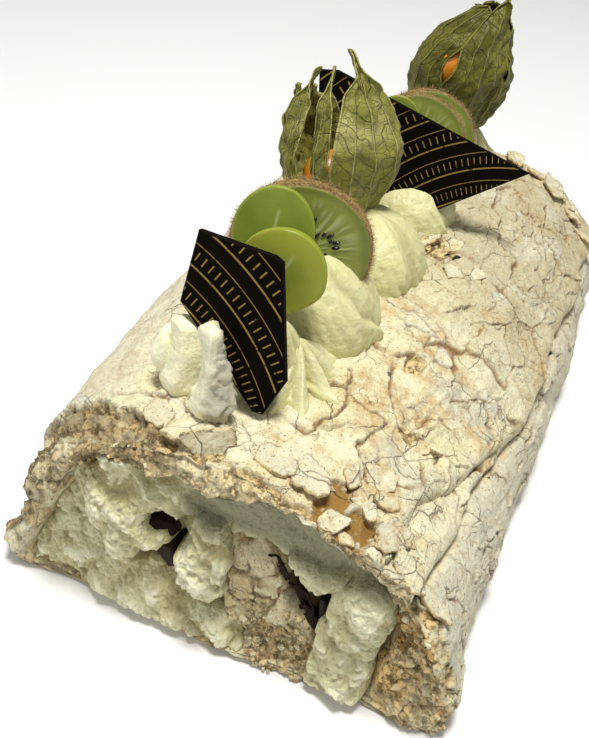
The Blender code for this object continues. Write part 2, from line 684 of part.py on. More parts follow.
def boxes_meet(first, second, margin=0.001):
    corners = []
    for thing in (first, second):
        points = [thing.matrix_world @ vertex.co for vertex in thing.data.vertices]
        low = Vector([min(p[i] for p in points) for i in range(3)])
        high = Vector([max(p[i] for p in points) for i in range(3)])
        corners.append((low, high))
    (low_a, high_a), (low_b, high_b) = corners
    return all(low_a[i] - margin < high_b[i] and low_b[i] - margin < high_a[i] for i in range(3))


def cut_clear(target, others, cutters, amount=GAP):
    """Take the room of the other pieces, with clearance, out of the target."""
    for other in others:
        if boxes_meet(target, other):
            combine(target, grown_copy(other, amount, cutters), "DIFFERENCE")
    keep_largest(target)


def main():
    clear_scene()
    parts = new_collection("banana_roulade")
    cutters = new_collection("cutters")
    meringue, cream, outside = build_roll(parts, cutters)
    inner_chocolate = build_chocolate_in_filling(parts)
    cut_clear(cream, inner_chocolate, cutters)
    cut_clear(meringue, inner_chocolate, cutters)
    shards = [build_shard(name, values, parts) for name, values in SHARDS.items()]
    kiwis = [build_kiwi(name, values, parts) for name, values in KIWIS.items()]
    grapes = [build_grape(name, values, parts) for name, values in GRAPES.items()]
    seats = []
    for end, values in PHYSALIS.items():
        build_husk("physalis_husk_" + end, values, parts)
        build_berry("physalis_berry_" + end, values, parts, cutters)
        seats.append(build_husk_seat("husk_seat_" + end, values, cutters))
    cut_clear(kiwis[2], [kiwis[1]], cutters)
    cut_clear(grapes[0], [grapes[1]] + kiwis, cutters)
    cut_clear(grapes[2], kiwis + shards, cutters)
    placed = shards + kiwis + grapes
    rooms = seats + [outside]
    for name, values in SWIRLS.items():
        swirl = build_swirl(name, values, parts)
        for room in rooms:
            if boxes_meet(swirl, room):
                combine(swirl, room, "DIFFERENCE")
        cut_clear(swirl, placed, cutters)
        rooms.append(build_swirl(name + "_room", values, cutters, 3 * GAP))
    for cutter in cutters.objects:
        cutter.hide_render = True
        cutter.display_type = "WIRE"


main()
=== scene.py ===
import math

import bpy
import numpy as np
from mathutils import Matrix, Vector


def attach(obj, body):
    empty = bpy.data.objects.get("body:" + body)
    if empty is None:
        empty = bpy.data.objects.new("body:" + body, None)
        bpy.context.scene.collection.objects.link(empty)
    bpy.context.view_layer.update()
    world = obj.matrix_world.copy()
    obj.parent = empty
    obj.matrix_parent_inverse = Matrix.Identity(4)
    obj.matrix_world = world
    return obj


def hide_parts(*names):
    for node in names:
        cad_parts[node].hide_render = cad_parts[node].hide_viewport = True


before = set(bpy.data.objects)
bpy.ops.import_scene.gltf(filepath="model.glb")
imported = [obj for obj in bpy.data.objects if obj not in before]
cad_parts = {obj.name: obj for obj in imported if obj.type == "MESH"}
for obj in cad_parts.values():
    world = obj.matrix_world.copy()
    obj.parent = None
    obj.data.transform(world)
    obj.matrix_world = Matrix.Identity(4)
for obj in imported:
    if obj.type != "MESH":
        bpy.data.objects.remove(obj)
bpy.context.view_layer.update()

# Lengths here are in millimetres, and meshes are made in metres
MM = 0.001
TURN = 2 * math.pi
# The roll: its height, the height of its widest place, the tuck of its flanks and Y of its far end
HEIGHT = 70.0
BELLY = 0.16 * HEIGHT
TUCK = math.radians(20)
BACK_END = 124.0
# Inside the roll the channel and what fills it are narrower, drawn in towards this height
MIDDLE, CHANNEL_WAIST, FILLING_WAIST = 25, 0.80, 0.78
FINE = 1.0


# Noise and fields

def mix(a, b, share):
    """Value at a share of the way from a to b."""
    return a + (b - a) * share


def smooth(low, high, value):
    """0 up to low and 1 from high, with a soft step between them. It also runs from high to low."""
    share = np.clip((value - low) / (high - low), 0.0, 1.0)
    return share * share * (3 - 2 * share)


def bell(value, width):
    return np.exp(-(value / width) ** 2)


def xyz(x, y, z):
    """Points from three coordinates, each of them an array or one number."""
    return np.stack(np.broadcast_arrays(x, y, z), -1)


def unit(ways):
    """Directions made 1 long."""
    return ways / np.maximum(np.linalg.norm(ways, axis=-1, keepdims=True), 1e-6)


def scramble(x, y, z, seed):
    """Well mixed 32-bit number for whole-number coordinates."""
    h = (x * 374761393 + y * 668265263 + z * 2147483647 + seed * 974634777) & 0xFFFFFFFF
    h = ((h ^ (h >> 13)) * 1274126177) & 0xFFFFFFFF
    h = ((h ^ (h >> 16)) * 2246822519) & 0xFFFFFFFF
    return h ^ (h >> 15)


def chance(seed, x, y=0):
    """Even draw from 0 to 1 for whole numbers, or for pairs of them."""
    return scramble(x, y, 0, seed) / 4294967296.0


DIRECTIONS = np.array([(1, 1, 0), (-1, 1, 0), (1, -1, 0), (-1, -1, 0), (1, 0, 1), (-1, 0, 1),
                       (1, 0, -1), (-1, 0, -1), (0, 1, 1), (0, -1, 1), (0, 1, -1), (0, -1, -1),
                       (1, 1, 0), (-1, 1, 0), (0, -1, 1), (0, -1, -1)], float)


def noise(points, size, seed=0):
    """Gradient noise, about -1 to 1, with features of the given size."""
    p = np.asarray(points, float) / size + seed * 7.31
    cell = np.floor(p).astype(np.int64)
    f = p - cell
    w = f * f * f * (f * (f * 6 - 15) + 10)
    total = np.zeros(len(p))
    for corner in np.ndindex(2, 2, 2):
        ahead = (f - corner) * DIRECTIONS[scramble(*(cell + corner).T, seed) & 15]
        share = np.where(corner, w, 1 - w)
        total += (ahead[:, 0] + ahead[:, 1] + ahead[:, 2]) * (share[:, 0] * share[:, 1] * share[:, 2])
    return total


def noises(points, *parts, onto=0):
    """Sum of noises, each given as strength, size and seed, on top of a start value."""
    return sum((strength * noise(points, size, seed) for strength, size, seed in parts), onto)


def layered(points, size, octaves, seed=0, keep=0.5):
    """Sum of ever finer noises, each half the size and a share of the strength of the last."""
    total = np.zeros(len(points))
    for octave in range(octaves):
        total += keep ** octave * noise(points, size / 2 ** octave, seed + octave)
    return total


def billow(points, size, seed):
    """Rounded lumps with creases between them, 0 to about 1."""
    return 1.7 * np.abs(noise(points, size, seed))


def plates(u, v, size, seed):
    """Broken plates: distance to the nearest crack, number of the plate, strength of the crack
    that is nearest, and the place of the point within its plate."""
    around = np.array(list(np.ndindex(5, 5))) - 2
    a, b = (np.floor(value / size).astype(np.int64) + around[:, column, None]
            for column, value in enumerate((u, v)))
    centre_u = (a + 0.5 + 0.92 * (chance(seed, a, b) - 0.5)) * size
    centre_v = (b + 0.5 + 0.92 * (chance(seed + 1, a, b) - 0.5)) * size
    far = (u - centre_u) ** 2 + (v - centre_v) ** 2
    number = a * 7919 + b

    def pick(values, least):
        return np.take_along_axis(values, least.argmin(0)[None], 0)[0]

    near, own, own_u, own_v = (pick(values, far) for values in (far, number, centre_u, centre_v))
    apart = np.hypot(centre_u - own_u, centre_v - own_v)
    gap = np.where(apart < 1e-6, 1e9, (far - near) / np.where(apart < 1e-6, 1.0, 2 * apart))
    edge, other = pick(gap, gap), pick(number, gap)
    strength = chance(seed + 2, np.minimum(own, other), np.maximum(own, other))
    return edge, own, strength, u - own_u, v - own_v


def inside(x, z, outline):
    """Signed distance to a closed outline, above 0 inside."""
    points = np.asarray(outline, float)
    far = np.full(len(x), 1e9)
    crossed = np.zeros(len(x), bool)
    for (ax, az), (bx, bz) in zip(points, np.roll(points, -1, axis=0)):
        ex, ez = bx - ax, bz - az
        t = np.clip(((x - ax) * ex + (z - az) * ez) / (ex * ex + ez * ez), 0, 1)
        far = np.minimum(far, np.hypot(x - ax - t * ex, z - az - t * ez))
        straddles = (az > z) != (bz > z)
        cut = ax + (z - az) * ex / np.where(ez == 0, 1e-9, ez)
        crossed ^= straddles & (x < cut)
    return np.where(crossed, far, -far)


# Meshes

def add_object(name, data):
    made = bpy.data.objects.new(name, data)
    bpy.context.scene.collection.objects.link(made)
    return made


def make_piece(name, points, faces, food, fields=None, normals=None):
    """Mesh object from points in millimetres, faces as rows of indices and fields for its look."""
    mesh = bpy.data.meshes.new(name)
    mesh.from_pydata((points * MM).tolist(), [], faces.tolist() if isinstance(faces, np.ndarray) else faces)
    mesh.update()
    for key, values in (fields or {}).items():
        layer = mesh.attributes.new(key, "FLOAT", "POINT")
        layer.data.foreach_set("value", np.asarray(values, np.float32))
    mesh.shade_smooth()
    if normals is not None:
        mesh.normals_split_custom_set_from_vertices(normals.tolist())
    mesh.materials.append(MATERIALS[food])
    return add_object(name, mesh)


def grid_faces(rows, columns, closed=False, flip=False, first=0):
    """Quads of a grid whose points are stored row by row."""
    across = columns if closed else columns - 1
    r, c = np.meshgrid(np.arange(rows - 1), np.arange(across), indexing="ij")
    n = (c + 1) % columns
    quads = np.stack([r * columns + c, r * columns + n, (r + 1) * columns + n,
                      (r + 1) * columns + c], -1).reshape(-1, 4) + first
    return quads[:, ::-1] if flip else quads


def grid_normals(points):
    """Unit normals of a grid of points (rows, columns, 3)."""
    way = np.cross(np.gradient(points, axis=1), np.gradient(points, axis=0))
    return way / np.maximum(np.linalg.norm(way, axis=-1, keepdims=True), 1e-12)


def two_faced(outer, inner):
    """Points and faces of a thin sheet from the grids of its two faces, closed along the edge."""
    rows, columns, _ = outer.shape
    count = rows * columns
    edge = np.concatenate([np.arange(columns), np.arange(1, rows) * columns + columns - 1,
                           (rows - 1) * columns + np.arange(columns - 2, -1, -1),
                           np.arange(rows - 2, 0, -1) * columns])
    after = np.roll(edge, -1)
    walls = np.stack([after, edge, edge + count, after + count], -1)
    points = np.concatenate([outer.reshape(-1, 3), inner.reshape(-1, 3)])
    back = grid_faces(rows, columns, flip=True, first=count)
    return points, np.concatenate([grid_faces(rows, columns), back, walls])


def body(piece, *nodes, slot):
    """Ride on the one body and stand for the nodes. The slot is not used."""
    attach(piece, "root")
    if nodes:
        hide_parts(*nodes)
    return piece


# Materials

class Shader:
    """Small helper around one node tree."""

    def __init__(self, name):
        self.material = bpy.data.materials.new(name)
        self.material.use_nodes = True
        self.tree = self.material.node_tree
        self.main = self.tree.nodes["Principled BSDF"]
        self.place = self.add("ShaderNodeTexCoord").outputs["Object"]

    def put(self, socket, value):
        if isinstance(value, bpy.types.NodeSocket):
            self.tree.links.new(value, socket)
        else:
            socket.default_value = value

    def add(self, kind, inputs=None, **settings):
        node = self.tree.nodes.new(kind)
        for key, value in settings.items():
            setattr(node, key, value)
        for key, value in (inputs or {}).items():
            self.put(node.inputs[key], value)
        return node

    def math(self, operation, a, b=0.0):
        return self.add("ShaderNodeMath", {0: a, 1: b}, operation=operation).outputs[0]

    def times(self, a, b):
        return self.math("MULTIPLY", a, b)

    def most(self, a, b):
        return self.math("MAXIMUM", a, b)

    def vector(self, operation, a, b):
        return self.add("ShaderNodeVectorMath", {0: a, 1: b}, operation=operation).outputs

    def noise(self, scale, detail, rough=0.5, out="Fac"):
        return self.add("ShaderNodeTexNoise", {"Scale": scale, "Detail": detail, "Roughness": rough,
                                               "Vector": self.place}).outputs[out]

    def bent(self, scale, amount):
        """Object coordinates bent by noise, so that patterns run unevenly."""
        middle = self.vector("SUBTRACT", self.noise(scale, 3, out="Color"), (0.5, 0.5, 0.5))[0]
        sized = self.add("ShaderNodeVectorMath", {0: middle, "Scale": amount}, operation="SCALE")
        return self.vector("ADD", self.place, sized.outputs[0])[0]

    def spots(self, scale, feature, place):
        made = self.add("ShaderNodeTexVoronoi", {"Scale": scale, "Vector": place}, feature=feature)
        return made.outputs["Distance"]

    def ramp(self, value, *stops):
        """Map a value through stops given as (place, grey)."""
        node = self.add("ShaderNodeValToRGB", {0: value})
        while len(node.color_ramp.elements) < len(stops):
            node.color_ramp.elements.new(0.5)
        for element, (at, grey) in zip(node.color_ramp.elements, stops):
            element.position = at
            element.color = (grey, grey, grey, 1)
        return node.outputs[0]

    def patches(self, scale, detail=3, rough=0.5, low=0.35, high=0.65):
        """Soft-edged patches of noise."""
        return self.ramp(self.noise(scale, detail, rough), (low, 0), (high, 1))

    def blend(self, share, a, b):
        a, b = ((*value, 1) if isinstance(value, tuple) else value for value in (a, b))
        return self.add("ShaderNodeMix", {0: share, 6: a, 7: b}, data_type="RGBA").outputs[2]

    def field(self, name):
        return self.add("ShaderNodeAttribute", attribute_name=name).outputs["Fac"]

    def bump(self, height, distance, strength=1.0, under=None):
        inputs = {"Strength": strength, "Distance": distance, "Height": height}
        if under is not None:
            inputs["Normal"] = under
        return self.add("ShaderNodeBump", inputs).outputs[0]

    def finish(self, colour, roughness, normal=None, **constants):
        self.put(self.main.inputs["Base Color"], colour)
        self.put(self.main.inputs["Roughness"], roughness)
        if normal is not None:
            self.put(self.main.inputs["Normal"], normal)
        for key, value in constants.items():
            self.main.inputs[key.replace("_", " ")].default_value = value
        return self.material


def meringue_material():
    """Baked skin with pores, dust and fine cracks, broken crumb inside, and syrup in the pool. Shade is
    painted into its recesses, its broken rims, the cavity beside the inner turn and towards the far end.
    """
    s = Shader("meringue")
    colour = s.blend(s.patches(42, high=0.68), (0.95, 0.915, 0.645), (0.93, 0.855, 0.54))
    # Toasted browning, which on the skin also holds painted shade in its recesses
    toasted_and_shaded = s.times(s.field("toast"), s.patches(190, 5, 0.7, 0.38, 0.60))
    colour = s.blend(toasted_and_shaded, colour, (0.64, 0.445, 0.185))
    colour = s.blend(s.times(s.patches(75, 5, 0.65, 0.56, 0.66), 0.75), colour, (0.60, 0.455, 0.235))
    # Painted shade: the skin is darker and duller towards the far end
    colour = s.blend(s.times(s.field("far_end_shade"), 0.72), colour, (0.58, 0.51, 0.32))
    colour = s.blend(s.field("pale"), colour, (0.76, 0.735, 0.565))
    grain = s.noise(1100, 4, 0.7)
    colour = s.blend(s.times(s.ramp(grain, (0.55, 0), (0.66, 1)), 0.48), colour, (0.40, 0.29, 0.14))
    colour = s.blend(s.times(s.ramp(grain, (0.34, 1), (0.45, 0)), 0.45), colour, (0.90, 0.88, 0.70))
    dots = s.ramp(s.spots(640, "F1", s.bent(900, 0.002)), (0.11, 1), (0.25, 0))
    dots = s.times(dots, s.ramp(s.noise(90, 3), (0.38, 0), (0.52, 0.95)))
    colour = s.blend(dots, colour, (0.38, 0.22, 0.09))
    dust = s.times(s.patches(260, 4, 0.6, 0.50, 0.66), 0.36)
    colour = s.blend(dust, colour, (0.55, 0.41, 0.21))
    crumb = s.field("crumb")
    # Pores of the crumb are darker: partly the crumb's own brown, partly painted shade in the pores
    holes = s.ramp(s.noise(420, 5, 0.75), (0.34, 1), (0.50, 0))
    inner = s.blend(holes, (0.87, 0.675, 0.335), (0.41, 0.26, 0.095))
    golden = s.blend(holes, (0.96, 0.68, 0.29), (0.46, 0.23, 0.06))
    inner = s.blend(s.times(s.field("warm"), 0.8), inner, golden)
    colour = s.blend(crumb, colour, inner)
    # Painted shade over the ragged parts of the broken rims
    colour = s.blend(s.field("painted_shade"), colour, (0.27, 0.225, 0.125))
    net = s.ramp(s.spots(70, "DISTANCE_TO_EDGE", s.bent(90, 0.007)), (0.0, 1), (0.013, 0))
    net = s.times(net, s.ramp(s.noise(55, 2), (0.50, 0), (0.60, 0.6)))
    craze = s.ramp(s.spots(190, "DISTANCE_TO_EDGE", s.bent(200, 0.004)), (0.0, 1), (0.016, 0))
    craze = s.times(craze, s.ramp(s.noise(62, 3), (0.57, 0), (0.66, 0.6)))
    net = s.most(net, craze)
    # The crack field paints the dark brown of cracks and gaps, and also painted shade in low crumbs and
    # patches of the broken rims and in the cavity beside the inner turn
    colour = s.blend(s.most(s.field("crack"), net), colour, (0.27, 0.145, 0.055))
    glaze = s.blend(s.noise(230, 4, 0.6), (0.25, 0.125, 0.028), (0.50, 0.30, 0.085))
    colour = s.blend(s.field("syrup"), colour, glaze)
    rough = s.math("SUBTRACT", 0.85, s.times(s.field("syrup"), 0.55))
    waves = s.bump(s.noise(330, 3, 0.55), 0.0012, 0.5)
    rub = s.bump(s.noise(1000, 5, 0.7), 0.0011, 0.9, waves)
    split = s.bump(s.math("SUBTRACT", 1.0, net), 0.0014, 0.9, rub)
    pores = s.bump(s.times(holes, crumb), 0.0013, 1.0, split)
    return s.finish(colour, rough, pores, Specular_IOR_Level=0.2)


def cream_material(name, ivory, shade, rough, grey=(0.255, 0.245, 0.14)):
    """Whipped cream: painted shade in its hollows, a painted highlight on its crests, a grey painted shade
    where it lies in shadow, and fine ripples.
    """
    s = Shader(name)
    colour = s.blend(s.patches(70), ivory, shade)
    colour = s.blend(s.times(s.field("hollow"), 0.8), colour, (0.35, 0.31, 0.125))
    colour = s.blend(s.times(s.field("crest"), 0.7), colour, (0.89, 0.88, 0.66))
    # Grey painted shade, on the slab under the crust and on the torn side of the dollop
    colour = s.blend(s.field("grey"), colour, grey)
    colour = s.blend(s.field("stain"), colour, (0.50, 0.34, 0.14))
    ripple = s.bump(s.noise(310, 3), 0.0017, rough)
    grain = s.bump(s.noise(850, 3), 0.0009, rough, ripple)
    return s.finish(colour, 0.42, grain, Subsurface_Weight=0.05, Subsurface_Scale=0.001,
                    Specular_IOR_Level=0.4)


def shard_material(name, origin, across, up, middle, pitch, start, end):
    """Dark chocolate with plain gold arcs round a point of its own plane, and rows of bars."""
    s = Shader(name)

    def along_axis(axis, centre):
        shift = s.vector("SUBTRACT", s.place, origin)[0]
        return s.math("SUBTRACT", s.vector("DOT_PRODUCT", shift, axis)["Value"], centre)

    def band(value, low, high):
        return s.times(s.math("GREATER_THAN", value, low), s.math("LESS_THAN", value, high))

    u, v = along_axis(across, middle[0]), along_axis(up, middle[1])
    radius = s.math("SQRT", s.math("ADD", s.times(u, u), s.times(v, v)))
    angle = s.math("ARCTAN2", v, u)
    turns = s.math("FRACT", s.math("DIVIDE", radius, pitch))
    lines = s.most(band(turns, 0.04, 0.09), band(turns, 0.62, 0.645))
    bars = s.times(band(turns, 0.22, 0.48), s.math("LESS_THAN", s.math("FRACT", s.times(angle, 30)), 0.16))
    gold = s.times(s.most(lines, bars), band(angle, start, end))
    # Only the front of the shard is decorated
    facing = s.vector("DOT_PRODUCT", s.add("ShaderNodeNewGeometry").outputs["Normal"],
                      Vector(across).cross(Vector(up)))["Value"]
    gold = s.times(gold, s.math("GREATER_THAN", facing, 0.95))
    gold = s.times(gold, s.ramp(s.noise(900, 3), (0.30, 0.0), (0.42, 0.9)))
    dark = s.blend(s.noise(160, 3), (0.0028, 0.0018, 0.0010), (0.007, 0.0045, 0.0026))
    colour = s.blend(gold, dark, (0.27, 0.20, 0.055))
    return s.finish(colour, 0.55, s.bump(s.noise(500, 3), 0.00015, 0.4), Specular_IOR_Level=0.02)


def plain_material(name, low, high, rough, **constants):
    s = Shader(name)
    return s.finish(s.blend(s.patches(120), low, high), rough, s.bump(s.noise(600, 3), 0.0002, 0.5),
                    **constants)


def grape_material():
    s = Shader("grape_flesh")
    colour = s.blend(s.patches(75, 2), (0.175, 0.235, 0.026), (0.250, 0.310, 0.052))
    # The rim field paints light: lighter on the lower grape, and a painted highlight along the lit side of
    # the edge
    colour = s.blend(s.field("rim"), colour, (0.375, 0.405, 0.050))
    colour = s.blend(s.field("skin"), colour, (0.225, 0.285, 0.030))
    colour = s.blend(s.field("vein"), colour, (0.50, 0.55, 0.22))
    return s.finish(colour, 0.34, s.bump(s.noise(240, 2), 0.0004, 0.4), Subsurface_Weight=0.35,
                    Subsurface_Scale=0.004, Specular_IOR_Level=0.22)


def kiwi_material():
    """Flesh with pale streaks and core, and a furry brown skin."""
    s = Shader("kiwi_flesh")
    colour = s.blend(s.field("streak"), (0.235, 0.265, 0.050), (0.40, 0.44, 0.17))
    colour = s.blend(s.field("core"), colour, (0.52, 0.54, 0.28))
    colour = s.blend(s.field("edge"), colour, (0.17, 0.20, 0.035))
    furry = s.blend(s.patches(700, 3, 0.7), (0.14, 0.085, 0.025), (0.33, 0.22, 0.08))
    colour = s.blend(s.field("skin"), colour, furry)
    rough = s.math("ADD", 0.28, s.times(s.field("skin"), 0.6))
    return s.finish(colour, rough, s.bump(s.noise(600, 3), 0.0003, 0.4), Subsurface_Weight=0.2,
                    Subsurface_Scale=0.002, Specular_IOR_Level=0.4)


def husk_material(name, dark, bright, ridge):
    """Papery skin: pale ribs and edges, dark branching veins and a fine net between them."""
    s = Shader(name)
    colour = s.blend(s.ramp(s.noise(75, 4, 0.55), (0.30, 0.1), (0.66, 1)), dark, bright)
    colour = s.blend(s.times(s.field("light"), 0.75), colour, ridge)
    side = s.math("ABSOLUTE", s.field("side"))
    middle = s.ramp(s.math("ABSOLUTE", s.field("across")), (0.12, 1), (0.55, 0))
    flank = s.ramp(s.math("ABSOLUTE", s.math("SUBTRACT", side, 0.52)), (0.010, 1), (0.042, 0))
    border = s.ramp(side, (0.91, 0), (0.96, 1))
    ribs = s.most(s.most(middle, flank), border)
    phase = s.math("FRACT", s.math("ADD", s.field("branch"), s.times(s.noise(160, 2), 0.5)))
    branch = s.ramp(s.math("ABSOLUTE", s.math("SUBTRACT", phase, 0.5)), (0.012, 1), (0.050, 0))
    net = s.ramp(s.spots(270, "DISTANCE_TO_EDGE", s.bent(150, 0.005)), (0.0, 0.55), (0.040, 0))
    vein = s.times(s.most(branch, net), s.ramp(s.noise(110, 2), (0.34, 0.45), (0.56, 1)))
    colour = s.blend(s.times(vein, 0.62), colour, (0.034, 0.034, 0.006))
    colour = s.blend(s.times(ribs, 0.55), colour, ridge)
    crumple = s.bump(s.noise(260, 4, 0.6), 0.0011, 0.7)
    raised = s.bump(s.math("SUBTRACT", ribs, s.times(vein, 0.7)), 0.0007, 0.9, crumple)
    return s.finish(colour, 0.5, raised, Specular_IOR_Level=0.3)


MATERIALS = {
    "meringue": meringue_material(),
    "cream": cream_material("cream", (0.65, 0.635, 0.39), (0.605, 0.565, 0.305), 0.9),
    "piped": cream_material("piped_cream", (0.69, 0.675, 0.365), (0.66, 0.63, 0.31), 0.35),
    # Its last colour is the grey of its painted shade
    "dollop": cream_material("dry_cream", (0.92, 0.92, 0.67), (0.90, 0.88, 0.57), 0.35,
                             (0.46, 0.445, 0.34)),
    "chocolate": plain_material("dark_chocolate", (0.010, 0.005, 0.0025), (0.026, 0.013, 0.007), 0.35,
                                Specular_IOR_Level=0.08),
    "grape": grape_material(),
    "kiwi": kiwi_material(),
    "seed": plain_material("seed", (0.006, 0.004, 0.005), (0.016, 0.010, 0.010), 0.25),
    "fuzz": plain_material("fuzz", (0.30, 0.19, 0.06), (0.48, 0.34, 0.14), 0.7),
    "husk_front": husk_material("pale_husk", (0.118, 0.115, 0.014), (0.275, 0.270, 0.055),
                                (0.50, 0.48, 0.18)),
    # The back husk is the front husk's colours at about half the brightness, as painted shade
    "husk_back": husk_material("shaded_husk", (0.060, 0.059, 0.003), (0.135, 0.130, 0.013),
                               (0.30, 0.29, 0.07)),
    "berry": plain_material("berry", (0.66, 0.20, 0.008), (0.78, 0.29, 0.015), 0.3),
}


# The roll's outside

def half_width(is_right, along):
    """Half width of the roll, which widens from the cut to the far end."""
    right = mix(70.5, 77.5, smooth(-100, 50, along))
    left = mix(71.0, 78.5, smooth(-125, -50, along))
    return np.where(is_right, right, left)


def roll_point(angle, along):
    """Smooth outside of the roll and its normal. Angle 0 is the right flank, pi/2 the top."""
    across, up = np.cos(angle), np.sin(angle)
    half = half_width(across > 0, along)
    power = np.where(across > 0, 2 / 2.1, 2 / 2.7)
    rise = HEIGHT - BELLY
    x = np.sign(across) * half * np.abs(across) ** power
    low = up < 0
    z = np.where(low, np.maximum(BELLY * (1 + up / math.sin(TUCK)), 0.0),
                 BELLY + rise * np.maximum(up, 0) ** power)
    nx = np.where(low, np.sign(across), x / half ** 2)
    nz = np.where(low, 0.0, (z - BELLY) / rise ** 2)
    long = np.hypot(nx, nz)
    return xyz(x, along, z), xyz(nx / long, 0.0, nz / long)


def lengths(points):
    """Distance from the start for each point of a line."""
    return np.concatenate([[0], np.cumsum(np.linalg.norm(np.diff(points, axis=0), axis=1))])


# Distances along the outside, from the right foot, are measured in one section of the roll
ARC_ANGLE = np.linspace(-TUCK, math.pi + TUCK, 4001)
ARC_POINTS, _ = roll_point(ARC_ANGLE, np.full(len(ARC_ANGLE), -50.0))
ARC_LENGTH = lengths(ARC_POINTS)
ARC_END = ARC_LENGTH[-1]


def arc_at(x, z):
    """Distance along the outside of a point near it."""
    return ARC_LENGTH[np.argmin((ARC_POINTS[:, 0] - x) ** 2 + (ARC_POINTS[:, 2] - z) ** 2)]


# Folds of the right flank: Y, and the angle in degrees where the fold runs
FOLD = ((-125, 38), (-112, 36.5), (-89, 30.5), (-73, 31.5), (-55, 28), (-29, 22.5), (0, 21.4),
        (26, 27), (69, 18.2), (85, 21.4), (125, 20))
SECOND_FOLD = ((-125, 50), (-105, 48), (-95, 48), (-81, 40), (-72, 37.7), (-54, 32.6), (-42, 29))
# Edge of the unbroken skin towards the cut: X and Y
SKIN_EDGE = ((-80, -106), (-66, -104), (-55, -102), (-48, -102), (-38, -106), (-28, -111), (-17, -114),
             (0, -117), (12, -120), (24, -121), (36, -122), (51, -124), (62, -121), (80, -122))
# Pits where the skin is broken through: X, Y, length, width, depth
PITS = ((31, -46, 5.0, 3.2, 3.0), (8, -128, 3.0, 5.0, 3.0), (18, 22, 9.0, 7.0, 1.6),
        (-6, -116, 3.0, 3.0, 2.0), (44, -76, 3.0, 6.0, 1.2), (-19, -126, 2.0, 3.0, 3.0))
SYRUP = ((24, -119), (26, -108), (31, -106), (33, -113), (42, -113), (39, -122), (34, -128), (27, -124))


def fold_arc(fold, along):
    """Distance along the outside where a fold runs."""
    ys, angles = zip(*fold)
    return np.interp(np.interp(along, ys, np.radians(angles)), ARC_ANGLE, ARC_LENGTH)


def cut_line(arc_x):
    """Y of the cut at the outside of the roll."""
    return np.interp(arc_x, (-80, -55, -40, 0, 40, 80), (-123, -120, -119, -120, -124, -124.5))


